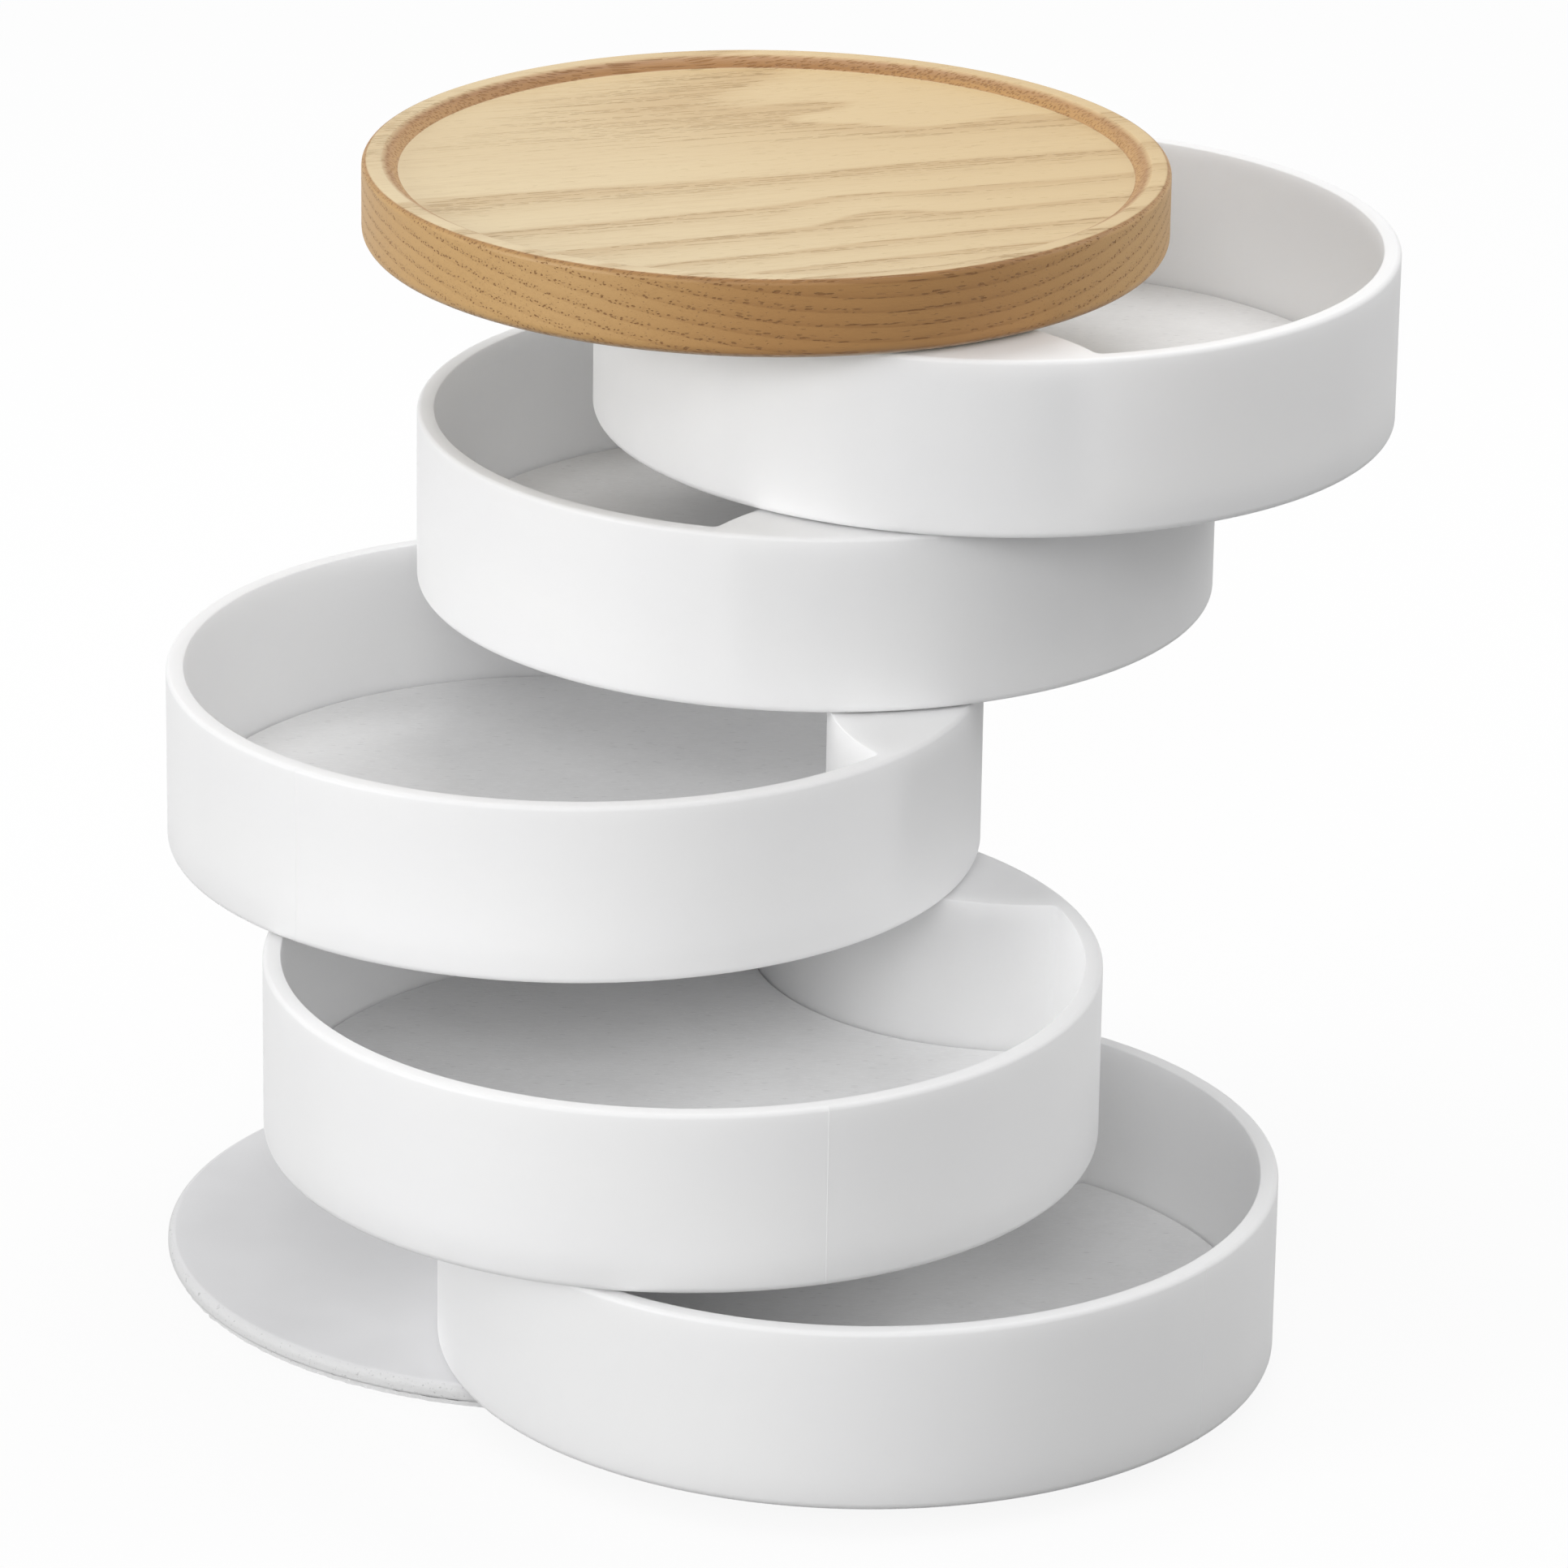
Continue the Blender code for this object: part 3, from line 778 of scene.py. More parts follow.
@dataclass(frozen=True)
class Outline:
    """A closed flat outline with the outward direction at each of its points."""

    points: tuple[Vector, ...]
    outward: tuple[Vector, ...]

    @classmethod
    def joined(cls, arcs: Iterable[Sequence[tuple[Vector, Vector]]]) -> "Outline":
        """Joins arcs end to end, each without its last point, which the next arc starts with."""
        pairs = [pair for arc in arcs for pair in arc[:-1]]
        return cls(tuple(p for p, _ in pairs), tuple(n for _, n in pairs))

    @classmethod
    def circle(cls, radius: float, steps: int, centre: Span = (0.0, 0.0)) -> "Outline":
        """A whole circle, from its +X side round."""
        return cls.joined([swept(centre, radius, 0.0, FULL_TURN, steps)])

    def loop(
        self, out: float, height: float, wobble: Callable[[int], float] | None = None
    ) -> list[Vector]:
        """The outline moved out by a distance, at a height.

        Args:
            out: How far out, or in where it is below zero.
            height: The height.
            wobble: An extra distance out for each point's number.

        Returns:
            The points.
        """
        extra = wobble or (lambda number: 0.0)
        return [
            Vector((*(point + outward * (out + extra(number))), height))
            for number, (point, outward) in enumerate(zip(self.points, self.outward))
        ]


def swept(
    centre: tuple[float, float],
    radius: float,
    start: float,
    end: float,
    steps: int,
    sense: float = 1.0,
) -> list[tuple[Vector, Vector]]:
    """An arc with the outward direction at each of its points.

    Args:
        centre: The arc's centre.
        radius: Its radius.
        start: Its first angle in radians.
        end: Its last angle.
        steps: How many parts it has.
        sense: 1 where outward is away from the centre, and -1 where it is towards it.

    Returns:
        Pairs of point and outward direction.
    """
    pairs = []
    for step in range(steps + 1):
        angle = start + (end - start) * step / steps
        direction = Vector((math.cos(angle), math.sin(angle)))
        pairs.append((Vector(centre) + direction * radius, direction * sense))
    return pairs


def mirrored(arc: Sequence[tuple[Vector, Vector]]) -> list[tuple[Vector, Vector]]:
    """The same arc below the X axis, in reverse order."""
    flip = Vector((1.0, -1.0))
    return [(point * flip, outward * flip) for point, outward in reversed(arc)]


def quarter(radius: float, steps: int) -> list[tuple[float, float]]:
    """Quarter round as pairs of run and rise, from (0, 0) at its upright end."""
    turns = [math.pi / 2 * step / steps for step in range(steps + 1)]
    return [(radius * (1 - math.cos(turn)), radius * math.sin(turn)) for turn in turns]


def disc_edge(
    radius: float, thickness: float, top: tuple[float, int], foot: tuple[float, int]
) -> list[tuple[float, float]]:
    """Edge of a disc from its top to its underside, as pairs of radius and height.

    Args:
        radius: The disc's radius.
        thickness: Its thickness.
        top: The radius of the round at its top, and how many parts it has.
        foot: The same of the round at its underside.

    Returns:
        The pairs.
    """
    shoulder = thickness - top[0]
    edge = [(radius - run, shoulder + rise) for run, rise in reversed(quarter(*top))]
    return edge + [(radius - run, foot[0] - drop) for run, drop in quarter(*foot)]


def stray(point: Vector, patches: float, seed: float) -> float:
    """Smooth noise from -1 to 1 over the flat, with so many patches to a millimetre."""
    scale = MM_PER_M * patches
    return noise.noise(Vector((point.x * scale, point.y * scale, seed)))


class Draft:
    """A mesh that is drawn as closed loops of points with bands of faces between them."""

    def __init__(self) -> None:
        """Starts an empty mesh."""
        self.body = bmesh.new()

    def loop(self, points: Iterable[Vector]) -> list[bmesh.types.BMVert]:
        """Adds the points of a loop."""
        return [self.body.verts.new(point) for point in points]

    def band(self, first: Corners, second: Corners) -> None:
        """Joins two loops of as many points with a band of faces.

        Args:
            first: One loop.
            second: The other loop.
        """
        for number in range(len(first)):
            after = (number + 1) % len(first)
            self.body.faces.new((first[number], first[after], second[after], second[number]))

    def skin(self, loops: Sequence[Sequence[Vector]]) -> list[list[bmesh.types.BMVert]]:
        """Joins loops one after the other.

        Args:
            loops: The loops, all with as many points.

        Returns:
            The loops' corners.
        """
        rings = [self.loop(points) for points in loops]
        for first, second in zip(rings, rings[1:]):
            self.band(first, second)
        return rings

    def cap(self, ring: Corners) -> None:
        """Closes a loop with one flat face."""
        self.body.faces.new(ring)

    def web(self, outer: Corners, inner: Corners) -> None:
        """Fills the flat space between two loops with triangles.

        Args:
            outer: The outer loop.
            inner: The inner loop.
        """
        edges = []
        for ring in (outer, inner):
            for number, corner in enumerate(ring):
                ends = (corner, ring[(number + 1) % len(ring)])
                edges.append(self.body.edges.get(ends) or self.body.edges.new(ends))
        bmesh.ops.triangle_fill(self.body, use_beauty=True, edges=edges)

    def piece(self, name: str) -> bpy.types.Object:
        """Ends the draft as an object in the scene.

        Args:
            name: The object's name.

        Returns:
            The object.
        """
        bmesh.ops.recalc_face_normals(self.body, faces=self.body.faces)
        mesh = bpy.data.meshes.new(name)
        self.body.to_mesh(mesh)
        self.body.free()
        piece = bpy.data.objects.new(name, mesh)
        bpy.context.scene.collection.objects.link(piece)
        return piece


def skinned(name: str, loops: Sequence[Sequence[Vector]]) -> bpy.types.Object:
    """Piece whose skin runs over loops of points, with a flat face on the first and on the last.

    Args:
        name: The piece's name.
        loops: The loops, all with as many points.

    Returns:
        The piece.
    """
    draft = Draft()
    rings = draft.skin(loops)
    draft.cap(rings[0])
    draft.cap(rings[-1])
    return draft.piece(name)


def turned(name: str, profile: Sequence[Span], steps: int = DISC_STEPS) -> bpy.types.Object:
    """Turns a profile about Z.

    Args:
        name: The piece's name.
        profile: Radius and height from the top's inner end, down the outer side, to the bottom's.
        steps: How many parts a turn has.

    Returns:
        The piece, closed by a flat face at each end of the profile.
    """
    circle = Outline.circle(1.0, steps)
    return skinned(name, [circle.loop(radius - 1.0, height) for radius, height in profile])


def prism(name: str, outline: Outline, bottom: float, top: float) -> bpy.types.Object:
    """Upright prism of an outline between two heights."""
    return skinned(name, [outline.loop(0.0, bottom), outline.loop(0.0, top)])


def bar(name: str, low: Sequence[float], high: Sequence[float]) -> bpy.types.Object:
    """Square-edged bar between its lowest and its highest corner."""
    corners = ((low[0], low[1]), (high[0], low[1]), (high[0], high[1]), (low[0], high[1]))
    return skinned(name, [[Vector((*c, height)) for c in corners] for height in (low[2], high[2])])


def rod(
    name: str, radius: float, bottom: float, top: float, reach: float, sides: int = SMALL_STEPS
) -> bpy.types.Object:
    """Upright rod on the pivot axis, which is at a reach from the level's centre."""
    return prism(name, Outline.circle(radius, sides, (-reach, 0.0)), bottom, top)


def carve(piece: bpy.types.Object, *tools: bpy.types.Object) -> bpy.types.Object:
    """Cuts tools out of a piece and removes them.

    Args:
        piece: The piece.
        tools: What is cut out of it, in order.

    Returns:
        The piece, with its new mesh.
    """
    for tool in tools:
        boolean = piece.modifiers.new(tool.name, "BOOLEAN")
        boolean.operation = "DIFFERENCE"
        boolean.object = tool
    bpy.context.view_layer.update()
    depsgraph = bpy.context.evaluated_depsgraph_get()
    mesh = bpy.data.meshes.new_from_object(piece.evaluated_get(depsgraph))
    piece.modifiers.clear()
    piece.data = mesh
    for tool in tools:
        bpy.data.objects.remove(tool, do_unlink=True)
    return piece


@dataclass(frozen=True)
class Pivot:
    """The upright axis that every level swings on."""

    x: float
    y: float
    reach: float = 0.0484

    @classmethod
    def of_frame(cls) -> "Pivot":
        """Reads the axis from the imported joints."""
        x, y, _ = frame["joints"][0]["pos_m"]
        return cls(x, y)

    def seat(self, level: Level, bottom: float) -> Matrix:
        """Where a level's own axes lie in the model.

        Args:
            level: The level.
            bottom: The height of its underside.

        Returns:
            The matrix from the level's axes to the model's.
        """
        turn = math.radians(HEADINGS[level])
        x = self.x + self.reach * math.cos(turn)
        y = self.y + self.reach * math.sin(turn)
        return Matrix.Translation((x, y, bottom)) @ Matrix.Rotation(turn, 4, "Z")

    def drill(self, name: str, radius: float, top: float) -> bpy.types.Object:
        """Tool that bores a level on the axis, from below its underside up to a height."""
        return rod(name, radius, -OVERRUN, top, self.reach)


def keep(node: str, material: bpy.types.Material) -> None:
    """Keeps the shape of a CAD node and gives it its finish."""
    frame["nodes"][node].material_slots[0].material = material
    log.info("%s keeps its own shape", node)


def dress(
    piece: bpy.types.Object,
    level: Level,
    seat: Matrix,
    material: bpy.types.Material,
    node: str,
) -> bpy.types.Object:
    """Puts a piece in place, gives it its finish and lets it stand for a CAD node.

    Args:
        piece: The piece, drawn about its level's centre.
        level: The level that carries it.
        seat: The matrix from the level's axes to the model's.
        material: Its finish.
        node: The CAD node that it replaces.

    Returns:
        The piece.
    """
    mesh = piece.data
    mesh.transform(seat)
    mesh.materials.clear()
    mesh.materials.append(material)
    mesh.shade_smooth()
    mesh.set_sharp_from_angle(angle=math.radians(SHARP_DEGREES))
    even = piece.modifiers.new("even_light", "WEIGHTED_NORMAL")
    even.keep_sharp = True
    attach(piece, level.value)
    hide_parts(node)
    log.info("%s rides on %s in place of %s", piece.name, level.value, node)
    return piece


@dataclass(frozen=True)
class TrayMould:
    """The mould that all five trays come from."""

    pivot: Pivot
    radius: float = 0.060
    height: float = 0.0269
    wall: float = 0.0026
    floor: float = 0.0022
    rim_round: float = 0.0007
    mouth_round: float = 0.0002
    foot_round: float = 0.0012
    floor_fillet: float = 0.0008
    face_radius: float = 0.0405
    face_offset: float = 0.0103
    corner_round: float = 0.0012
    boss_wall: float = 0.0022
    boss_top: float = 0.0025
    tube_radius: float = 0.0050
    bore_radius: float = 0.0028
    rib: float = 0.0013
    rib_shares: tuple[float, ...] = (-0.68, -0.36, 0.36, 0.68)
    spacer_pocket: float = 0.0008
    parting_angle: float = 60.0
    parting_height: float = 0.00006
    parting_width: float = 0.00016
    wall_steps: int = 192
    corner_steps: int = 5
    face_steps: int = 48
    space_wall_steps: int = 44
    space_corner_steps: int = 4
    space_face_steps: int = 40
    outer_steps: int = 238
    edge_steps: int = 6
    fillet_steps: int = 4

    @property
    def face_reach(self) -> float:
        """Distance from the tray's centre to the centre of the boss face's arc."""
        return self.pivot.reach - self.face_offset + self.face_radius

    @property
    def wall_radius(self) -> float:
        """Radius of the hollow's wall."""
        return self.radius - self.wall

    def corner(self, face_radius: float, side: int) -> tuple[tuple[float, float], float, float]:
        """Places the round where the wall's circle meets the boss face's circle.

        Args:
            face_radius: The radius of the face's circle.
            side: 1 for the round in the hollow, and -1 for the one inside the boss.

        Returns:
            The round's centre and the angles at which it touches the wall and the face.
        """
        to_wall = self.wall_radius - self.corner_round
        to_face = face_radius + side * self.corner_round
        x = (to_face**2 - to_wall**2 - self.face_reach**2) / (2 * self.face_reach)
        y = math.sqrt(to_wall**2 - x**2)
        return (x, y), math.atan2(y, x), math.atan2(y, x + self.face_reach)

    def hollow(self) -> Outline:
        """Outline of the tray's hollow: a disc with the boss's face bitten out.

        Returns:
            The outline.
        """
        centre, at_wall, at_face = self.corner(self.face_radius, 1)
        wall = swept((0.0, 0.0), self.wall_radius, -at_wall, at_wall, self.wall_steps)
        round_ = swept(centre, self.corner_round, at_wall, at_face + math.pi, self.corner_steps)
        middle = (-self.face_reach, 0.0)
        face = swept(middle, self.face_radius, at_face, -at_face, self.face_steps, -1.0)
        return Outline.joined([wall, round_, face, mirrored(round_)])

    def boss_space(self) -> Outline:
        """Outline of the space inside the boss: the lens between its face and the wall.

        Returns:
            The outline.
        """
        face_radius = self.face_radius - self.boss_wall
        centre, at_wall, at_face = self.corner(face_radius, -1)
        face = swept((-self.face_reach, 0.0), face_radius, -at_face, at_face, self.space_face_steps)
        round_ = swept(centre, self.corner_round, at_face, at_wall, self.space_corner_steps)
        last = FULL_TURN - at_wall
        wall = swept((0.0, 0.0), self.wall_radius, at_wall, last, self.space_wall_steps)
        return Outline.joined([face, round_, wall, mirrored(round_)])

    def rim_circle(self) -> Outline:
        """Outline of the outer wall, with the faint ridge where the mould's halves part.

        Returns:
            The outline.
        """
        ridge = math.radians(self.parting_angle)
        side = self.parting_width / 2 / self.radius
        last = ridge + FULL_TURN - side
        first = swept((0.0, 0.0), self.radius, ridge + side, last, self.outer_steps)
        crest = Vector((math.cos(ridge), math.sin(ridge)))
        top = (crest * (self.radius + self.parting_height), crest)
        return Outline.joined([first, [first[-1], top, first[0]]])

    def cells(self) -> bpy.types.Object:
        """Tool that hollows the boss from below and leaves its tube, its ribs and its spine.

        Returns:
            The tool.
        """
        lens = self.boss_space()
        tool = prism("boss_cells", lens, -OVERRUN, self.height - self.boss_top)
        half = max(point.y for point in lens.points)
        near = min(point.x for point in lens.points) - OVERRUN
        far = max(point.x for point in lens.points) + OVERRUN
        places = {f"rib_{number}": share * half for number, share in enumerate(self.rib_shares)}
        places["spine"] = 0.0
        side = self.rib / 2
        kept = [
            bar(name, (near, place - side, self.spacer_pocket), (far, place + side, self.height))
            for name, place in places.items()
        ]
        reach = self.pivot.reach
        kept.append(rod("tube", self.tube_radius, self.spacer_pocket, self.height, reach))
        return carve(tool, *kept)

    def mesh(self) -> bpy.types.Mesh:
        """Draws a tray about its centre, with its underside at zero.

        Returns:
            The mesh, shared as a pattern by the five trays.
        """
        draft = Draft()
        circle = self.rim_circle()
        foot = quarter(self.foot_round, self.edge_steps)
        rim = quarter(self.rim_round, self.edge_steps)
        outside = [circle.loop(-run, self.foot_round - rise) for run, rise in reversed(foot)]
        outside += [circle.loop(-run, self.height - self.rim_round + rise) for run, rise in rim]
        outer = draft.skin(outside)
        hollow = self.hollow()
        mouth = quarter(self.mouth_round, self.fillet_steps)
        shoulder = self.height - self.mouth_round
        inside = [hollow.loop(run, shoulder + rise) for run, rise in reversed(mouth)]
        fillet = quarter(self.floor_fillet, self.fillet_steps)
        inside += [hollow.loop(-run, self.floor + self.floor_fillet - rise) for run, rise in fillet]
        inner = draft.skin(inside)
        draft.web(outer[-1], inner[0])
        draft.cap(inner[-1])
        draft.cap(outer[0])
        tray = draft.piece("tray_pattern")
        carve(tray, self.cells(), self.pivot.drill("bore", self.bore_radius, self.height + OVERRUN))
        mesh = tray.data
        bpy.data.objects.remove(tray, do_unlink=True)
        return mesh


@dataclass(frozen=True)
class Tray:
    """One tray with its felt liner."""

    level: Level
    mould: TrayMould
    pattern: bpy.types.Mesh
    plastic: bpy.types.Material
    felt: bpy.types.Material
    nylon: bpy.types.Material
    liner_bottom: float = 0.00235
    liner_top: float = 0.0040
    liner_gap: float = 0.00013
    liner_round: float = 0.0003
    liner_round_steps: int = 4
    liner_steps: int = 22
    liner_middle: float = 0.012
    cut_waves: tuple[Span, ...] = ((0.07, 0.00007), (0.6, 0.00003))
    face_waves: tuple[Span, ...] = ((0.038, 0.00011), (0.1634, 0.00004))
    seed_step: float = 7.0
    seed_shift: float = 3.0

    @property
    def seat(self) -> Matrix:
        """Where the tray's own axes lie in the model."""
        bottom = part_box(f"{self.level.value}_shell")[0].z
        return self.mould.pivot.seat(self.level, bottom)

    def shell(self) -> bpy.types.Object:
        """Makes this tray's shell from the pattern.

        Returns:
            The shell.
        """
        name = f"{self.level.value}_moulded_shell"
        piece = bpy.data.objects.new(name, self.pattern.copy())
        piece.data.name = name
        bpy.context.scene.collection.objects.link(piece)
        node = f"{self.level.value}_shell"
        return dress(piece, self.level, self.seat, self.plastic, node)

    def liner(self, shell: bpy.types.Object) -> bpy.types.Object:
        """Lays the felt liner, cut a little unevenly by hand along its edge.

        Args:
            shell: The shell that it lies in; not used.

        Returns:
            The liner.
        """
        outline = self.mould.hollow()
        seed = self.seed_step * list(Level).index(self.level)
        middle = Vector((self.liner_middle, 0.0))

        def uneven(number: int) -> float:
            """How far the cut edge strays outward at a point.

            Args:
                number: The point's number along the outline.

            Returns:
                The distance.
            """
            (slow, far), (quick, near) = self.cut_waves
            point = outline.points[number]
            edge_seed = seed + self.seed_shift
            return far * stray(point, slow, seed) + near * stray(point, quick, edge_seed)

        def lie(point: Vector) -> float:
            """How far the felt's face rises, or sinks where it is below zero.

            Args:
                point: The point on the face.

            Returns:
                The rise.
            """
            (slow, high), (quick, low) = self.face_waves
            face_seed = seed * quick / slow
            return high * stray(point, slow, seed) + low * stray(point, quick, face_seed)

        edge = quarter(self.liner_round, self.liner_round_steps)
        shoulder = self.liner_top - self.liner_round
        gap = self.liner_gap
        loops = [outline.loop(-gap, self.liner_bottom, uneven)]
        loops += [outline.loop(-gap - run, shoulder + rise, uneven) for run, rise in edge]
        border = loops[-1]
        for step in range(1, self.liner_steps):
            share = 1 - step / self.liner_steps
            spots = [middle + (Vector(point.xy) - middle) * share for point in border]
            loops.append([Vector((*spot, self.liner_top)) for spot in spots])
        depth = self.liner_top - self.liner_bottom
        for ring in loops[1:]:
            for point in ring:
                point.z += lie(point) * (point.z - self.liner_bottom) / depth
        piece = skinned(f"{self.level.value}_felt_liner", loops)
        flat = outline.loop(-gap, 0.0)
        node = f"{self.level.value}_liner"
        dress(piece, self.level, self.seat, self.felt, node)
        return piece

    def build(self) -> None:
        """Makes the tray's pieces and gives its spacer its finish."""
        self.liner(self.shell())
        keep(f"{self.level.value}_spacer", self.nylon)


@dataclass(frozen=True)
class Lid:
    """The wooden lid with its dished top."""

    pivot: Pivot
    timber: bpy.types.Material
    radius: float = 0.0599
    thickness: float = 0.0120
    rim_width: float = 0.0027
    slope_width: float = 0.0027
    slope_bulge: float = 0.00026
    recess: float = 0.0017
    slope_steps: int = 12
    foot_fillet: float = 0.00015
    top_round: tuple[float, int] = (0.0010, 6)
    foot_round: tuple[float, int] = (0.0020, 8)
    flange_seat: tuple[float, float] = (0.0053, 0.0019)
    insert_bore: tuple[float, float] = (0.0040, 0.0089)

    def profile(self) -> list[tuple[float, float]]:
        """Draws the lid's section, from the dish's floor over the rim to the underside.

        Returns:
            Pairs of radius and height.
        """
        floor = self.thickness - self.recess
        floor_radius = self.radius - self.rim_width - self.slope_width
        length = math.hypot(self.slope_width, self.recess)
        points = [(floor_radius / 2, floor), (floor_radius - self.foot_fillet, floor)]
        for step in range(1, self.slope_steps + 1):
            share = step / self.slope_steps
            bulge = 4 * self.slope_bulge * share * (1 - share)
            radius = floor_radius + self.slope_width * share - bulge * self.recess / length
            points.append((radius, floor + self.recess * share + bulge * self.slope_width / length))
        return points + disc_edge(self.radius, self.thickness, self.top_round, self.foot_round)

    def build(self) -> None:
        """Makes the board, bored from below for its threaded insert."""
        board = turned("lid_turned_board", self.profile())
        seat = self.pivot.drill("flange_seat", *self.flange_seat)
        carve(board, seat, self.pivot.drill("insert_bore", *self.insert_bore))
        place = self.pivot.seat(Level.LID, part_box("lid_board")[0].z)
        dress(board, Level.LID, place, self.timber, "lid_board")


@dataclass(frozen=True)
class Base:
    """The coated plate that the stack stands on, with its felt pad."""

    pivot: Pivot
    coat: bpy.types.Material
    felt: bpy.types.Material
    radius: float = 0.0596
    thickness: float = 0.0024
    top_round: tuple[float, int] = (0.0012, 8)
    foot_round: tuple[float, int] = (0.0006, 4)
    counterbore: tuple[float, float] = (0.0056, 0.0015)
    bore_radius: float = 0.0028
    pad_inset: float = 0.0008
    pad_thickness: float = 0.0006
    pad_opening: float = 0.0068
    pad_steps: int = 360
    pad_shoulder: float = 0.0006
    cut_wave: Span = (0.9, 0.0003)
    cut_seed: float = 4.0
    fuzz: float = 0.00022
    fuzz_patches: float = 0.7
    fuzz_seed: float = 9.0
    fuzz_mean: float = 0.6
    fuzz_swing: float = 1.6

    def plate(self) -> None:
        """Makes the plate with its rounded edges, bored for the pivot screw."""
        points = [(self.radius / 2, self.thickness)]
        points += disc_edge(self.radius, self.thickness, self.top_round, self.foot_round)
        plate = turned("base_coated_plate", points)
        seat = self.pivot.drill("counterbore", *self.counterbore)
        carve(plate, seat, self.pivot.drill("bore", self.bore_radius, self.thickness + OVERRUN))
        place = self.pivot.seat(Level.BASE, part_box("base_plate")[0].z)
        dress(plate, Level.BASE, place, self.coat, "base_plate")

    def pad(self) -> None:
        """Makes the felt pad, with a slightly ragged edge."""
        radius = self.radius - self.pad_inset
        circle = Outline.circle(radius, self.pad_steps)

        def ragged(number: int) -> float:
            """How far the cut edge strays outward at a point."""
            patches, depth = self.cut_wave
            return depth * stray(circle.points[number], patches, self.cut_seed)

        loops = [circle.loop(0.0, self.pad_thickness * share, ragged) for share in (0.0, 0.5, 1.0)]
        for point in loops[-1]:
            raised = stray(point, self.fuzz_patches, self.fuzz_seed) * self.fuzz_swing
            point.z += self.fuzz * max(0.0, self.fuzz_mean + raised)
        loops.append(circle.loop(-self.pad_shoulder, self.pad_thickness, ragged))
        pad = skinned("base_felt_pad", loops)
        carve(pad, self.pivot.drill("opening", self.pad_opening, self.pad_thickness + OVERRUN))
        dress(pad, Level.BASE, self.pivot.seat(Level.BASE, 0.0), self.felt, "base_pad")

    def build(self) -> None:
        """Makes the base's pieces."""
        self.plate()
        self.pad()


@dataclass(frozen=True)
class PivotHardware:
    """The long screw through the levels, and the small parts round it."""

    pivot: Pivot
    steel: bpy.types.Material
    brass: bpy.types.Material
    nylon: bpy.types.Material
    radius: float = 0.0025
    tip_chamfer: float = 0.0004
    head_radius: float = 0.0050
    head_thickness: float = 0.0010
    head_round: float = 0.0003
    head_round_steps: int = 4
    socket_width: float = 0.0030
    socket_depth: float = 0.0028
    socket_sides: int = 6

    def screw(self) -> None:
        """Makes the screw with its rounded head and hexagon socket."""
        low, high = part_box("pivot_screw")
        tip = high.z - low.z
        under = self.head_thickness
        profile = [
            (self.radius - self.tip_chamfer, tip),
            (self.radius, tip - self.tip_chamfer),
            (self.radius, under),
            (self.head_radius - self.head_round / 2, under),
            (self.head_radius, under - self.head_round / 2),
        ]
        foot = quarter(self.head_round, self.head_round_steps)
        profile += [(self.head_radius - run, self.head_round - drop) for run, drop in foot]
        screw = turned("pivot_long_screw", profile, SMALL_STEPS)
        across = self.socket_width / 2 / math.cos(math.pi / self.socket_sides)
        carve(screw, rod("socket", across, -OVERRUN, self.socket_depth, 0.0, self.socket_sides))
        place = Matrix.Translation((self.pivot.x, self.pivot.y, low.z))
        dress(screw, Level.LID, place, self.steel, "pivot_screw")

    def build(self) -> None:
        """Makes the screw and gives the insert, the washer and the lid's spacer their finish."""
        self.screw()
        keep("lid_insert", self.brass)
        keep("pivot_washer", self.nylon)
        keep("lid_spacer", self.nylon)


@dataclass(frozen=True)
class SoftLight:
    """A broad, far light, named by where it stands as seen from the box.

    Its bearing is 0 in front and goes to the right, and its strength is what it gives the box.
    """

    name: str
    bearing: float
    elevation: float
    strength: float
    spread: float = 24.0

    @property
    def source(self) -> Vector:
        """Direction from the box to the light.

        Returns:
            The direction, of length 1.
        """
        bearing, elevation = math.radians(self.bearing), math.radians(self.elevation)
        level = math.cos(elevation)
        return Vector((math.sin(bearing) * level, -math.cos(bearing) * level, math.sin(elevation)))

    def hang(self, data: bpy.types.Light, place: Vector) -> None:
        """Hangs a lamp, turned to the box and out of the camera's sight.

        Args:
            data: The lamp.
            place: Where it hangs.
        """
        light = bpy.data.objects.new(self.name, data)
        turn = (-self.source).to_track_quat("-Z", "Y").to_matrix().to_4x4()
        light.matrix_world = Matrix.Translation(place) @ turn
        light.visible_camera = False
        bpy.context.scene.collection.objects.link(light)

    def build(self) -> None:
        """Hangs the light."""
        data = bpy.data.lights.new(self.name, "SUN")
        data.energy = self.strength
        data.angle = math.radians(self.spread)
        self.hang(data, Vector())


@dataclass(frozen=True)
class NearLight(SoftLight):
    """A round soft box close by, which is stronger on what stands nearer to it."""

    distance: float = 0.55
    width: float = 0.3
    aim: tuple[float, float, float] = (0.03, 0.01, 0.08)

    def build(self) -> None:
        """Hangs the light."""
        data = bpy.data.lights.new(self.name, "AREA")
        data.shape = "DISK"
        data.size = self.width
        data.energy = self.strength * math.pi * self.distance**2
        self.hang(data, Vector(self.aim) + self.source * self.distance)


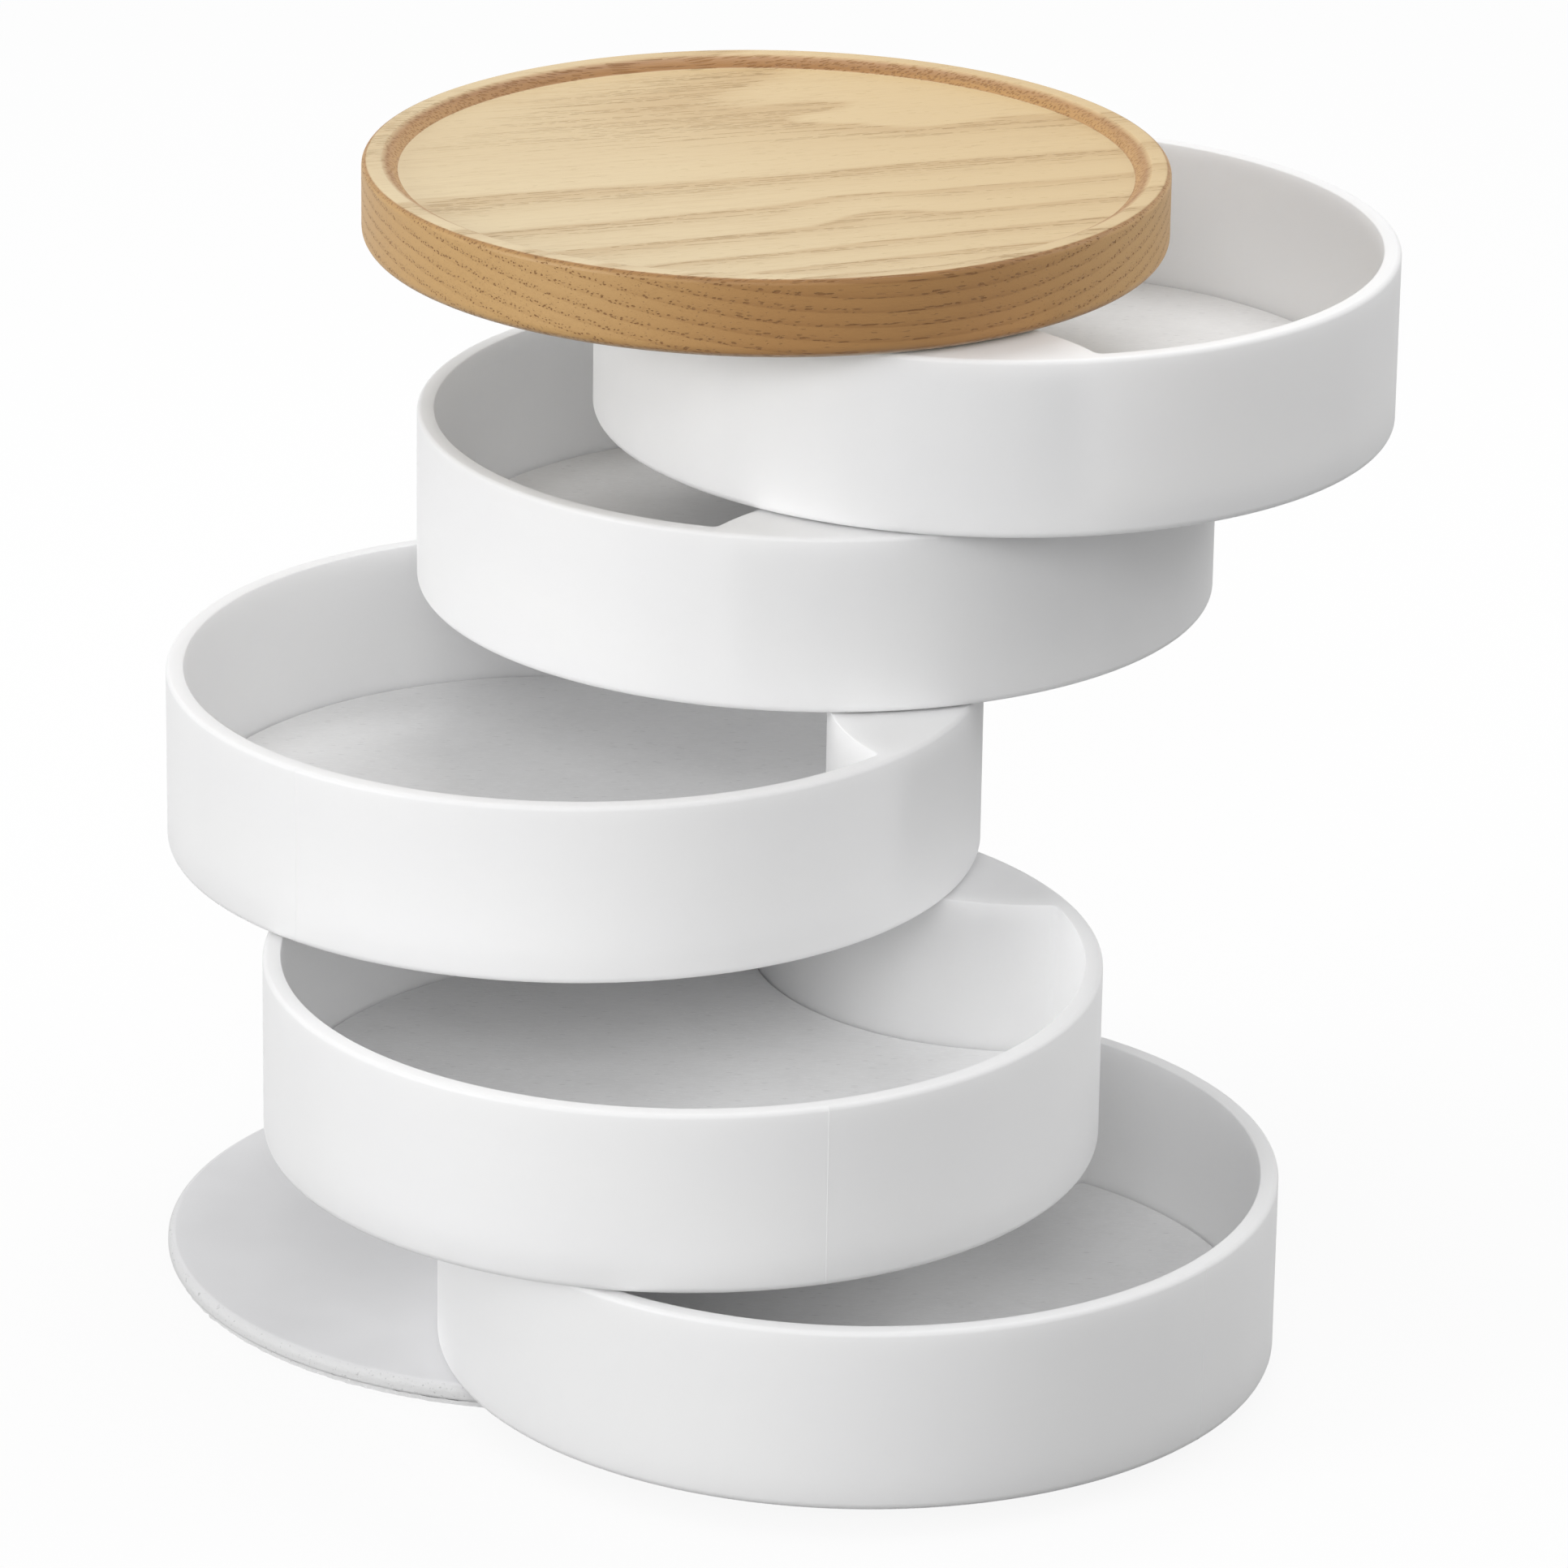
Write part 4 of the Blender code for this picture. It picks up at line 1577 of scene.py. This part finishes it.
@dataclass(frozen=True)
class Studio:
    """Pale floor, soft studio light and the camera."""

    lights: tuple[SoftLight, ...]
    eye: tuple[float, float, float] = (0.0304, -1.1510, 0.5092)
    pitch: float = 20.737
    roll: float = 0.910
    lens: float = 194.69
    sensor: float = 36.0
    sight: float = 20.0
    floor_size: float = 8.0
    floor_glow: float = 0.9
    floor_seen: float = 0.95
    floor_bounce: float = 0.3
    sky: float = 0.54

    def camera(self) -> None:
        """Sets the camera where the photograph was taken from."""
        data = bpy.data.cameras.new("camera")
        data.sensor_width = self.sensor
        data.lens = self.lens
        data.clip_end = self.sight
        camera = bpy.data.objects.new("camera", data)
        pitch = Matrix.Rotation(math.radians(90.0 - self.pitch), 4, "X")
        roll = Matrix.Rotation(math.radians(self.roll), 4, "Z")
        camera.matrix_world = Matrix.Translation(self.eye) @ pitch @ roll
        bpy.context.scene.collection.objects.link(camera)
        bpy.context.scene.camera = camera

    def seen(self, recipe: Recipe) -> Signal:
        """Tells rays that come straight from the view, a mirror or glass from plain light.

        Args:
            recipe: The recipe that the steps go into.

        Returns:
            1 for those rays, and 0 for plain light.
        """
        rays = recipe.step("ShaderNodeLightPath")
        shown = recipe.larger(rays["Is Camera Ray"], rays["Is Glossy Ray"])
        return recipe.larger(shown, rays["Is Transmission Ray"])

    def world(self) -> None:
        """Fills the room with even light, and shows it white."""
        world = bpy.data.worlds.new("room")
        bpy.context.scene.world = world
        world.use_nodes = True
        world.node_tree.nodes.clear()
        recipe = Recipe(world.node_tree)
        light = recipe.step("ShaderNodeBackground", {}, {"Color": WHITE, "Strength": self.sky})
        white = recipe.step("ShaderNodeBackground", {}, {"Color": WHITE, "Strength": 1.0})
        sides = {0: self.seen(recipe), 1: light[0], 2: white[0]}
        both = recipe.step("ShaderNodeMixShader", {}, sides)
        recipe.step("ShaderNodeOutputWorld", {}, {"Surface": both[0]})

    def floor(self) -> None:
        """Lays the floor: it shows nearly white, keeps the box's shadow and throws little back."""
        half = self.floor_size / 2
        draft = Draft()
        corners = ((-half, -half), (half, -half), (half, half), (-half, half))
        draft.cap(draft.loop(Vector((x, y, 0.0)) for x, y in corners))
        floor = draft.piece("studio_floor")
        material = bpy.data.materials.new("studio_paper")
        material.use_nodes = True
        recipe = Recipe(material.node_tree)
        recipe.tree.nodes.clear()
        seen = self.seen(recipe)
        greys = [(grey, grey, grey) for grey in (self.floor_bounce, self.floor_seen)]
        paper = recipe.step("ShaderNodeBsdfDiffuse", {}, {"Color": recipe.mix(seen, *greys)})
        glow = recipe.step("ShaderNodeEmission", {}, {"Color": WHITE, "Strength": 1.0})
        share = seen * self.floor_glow
        both = recipe.step("ShaderNodeMixShader", {}, {0: share, 1: paper[0], 2: glow[0]})
        recipe.step("ShaderNodeOutputMaterial", {}, {"Surface": both[0]})
        floor.data.materials.append(material)

    def build(self) -> None:
        """Sets up the whole studio."""
        self.camera()
        self.world()
        self.floor()
        for light in self.lights:
            light.build()
        bpy.context.scene.view_settings.view_transform = "Standard"


def main() -> None:
    """Builds the levels from the base up, and then the studio."""
    logging.basicConfig(level=logging.INFO, format="%(name)s: %(message)s")
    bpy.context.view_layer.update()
    pivot = Pivot.of_frame()
    axis = (pivot.x, pivot.y, 0.0)
    lid_centre = tuple(pivot.seat(Level.LID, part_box("lid_board")[0].z).translation)
    base_centre = tuple(pivot.seat(Level.BASE, 0.0).translation)
    plastic = MouldedPlastic(
        "tray_abs", pale=written(0xFCFCFC), deep=written(0xF9F9FA)
    ).material()
    nylon = MouldedPlastic(
        "nylon", pale=written(0xE6E5DF), deep=written(0xDDDCD5), sheen_roughness=0.38
    ).material()
    liner_felt = PressedFelt(
        "liner_felt", pale=written(0xFBFBFB), deep=written(0xF2F2F2), hair=written(0xACACAC)
    ).material()
    pad_felt = PressedFelt(
        "pad_felt", pale=written(0xF2F2F2), deep=written(0xE2E2E2), hair=written(0x707070)
    ).material()
    coat = PowderCoat(
        "base_coat",
        pale=written(0xF5F5F6),
        deep=written(0xEFEFF0),
        # The rim colour is painted shade, darker than the coat.
        rim=written(0xDCDCDC),
        centre=base_centre,
        rim_radius=Base.radius * MM_PER_M,
    ).material()
    timber = AshTimber("ash", lid_centre).material()
    steel = TurnedMetal("steel", colour=(0.62, 0.62, 0.63), axis=axis, polish=0.26).material()
    brass = TurnedMetal("brass", colour=(0.78, 0.57, 0.27), axis=axis, polish=0.3).material()

    Base(pivot, coat, pad_felt).build()
    mould = TrayMould(pivot)
    pattern = mould.mesh()
    for level in (Level.TRAY_5, Level.TRAY_4, Level.TRAY_3, Level.TRAY_2, Level.TRAY_1):
        Tray(level, mould, pattern, plastic, liner_felt, nylon).build()
    bpy.data.meshes.remove(pattern)
    Lid(pivot, timber).build()
    PivotHardware(pivot, steel, brass, nylon).build()
    lights = (
        SoftLight("left_light", bearing=-60.0, elevation=12.0, strength=1.36),
        SoftLight("front_light", bearing=-5.0, elevation=32.0, strength=0.6),
        SoftLight("right_light", bearing=110.0, elevation=32.0, strength=0.46),
        NearLight("back_light", bearing=180.0, elevation=60.0, strength=0.9),
    )
    Studio(lights).build()


if __name__ == "__main__":
    main()
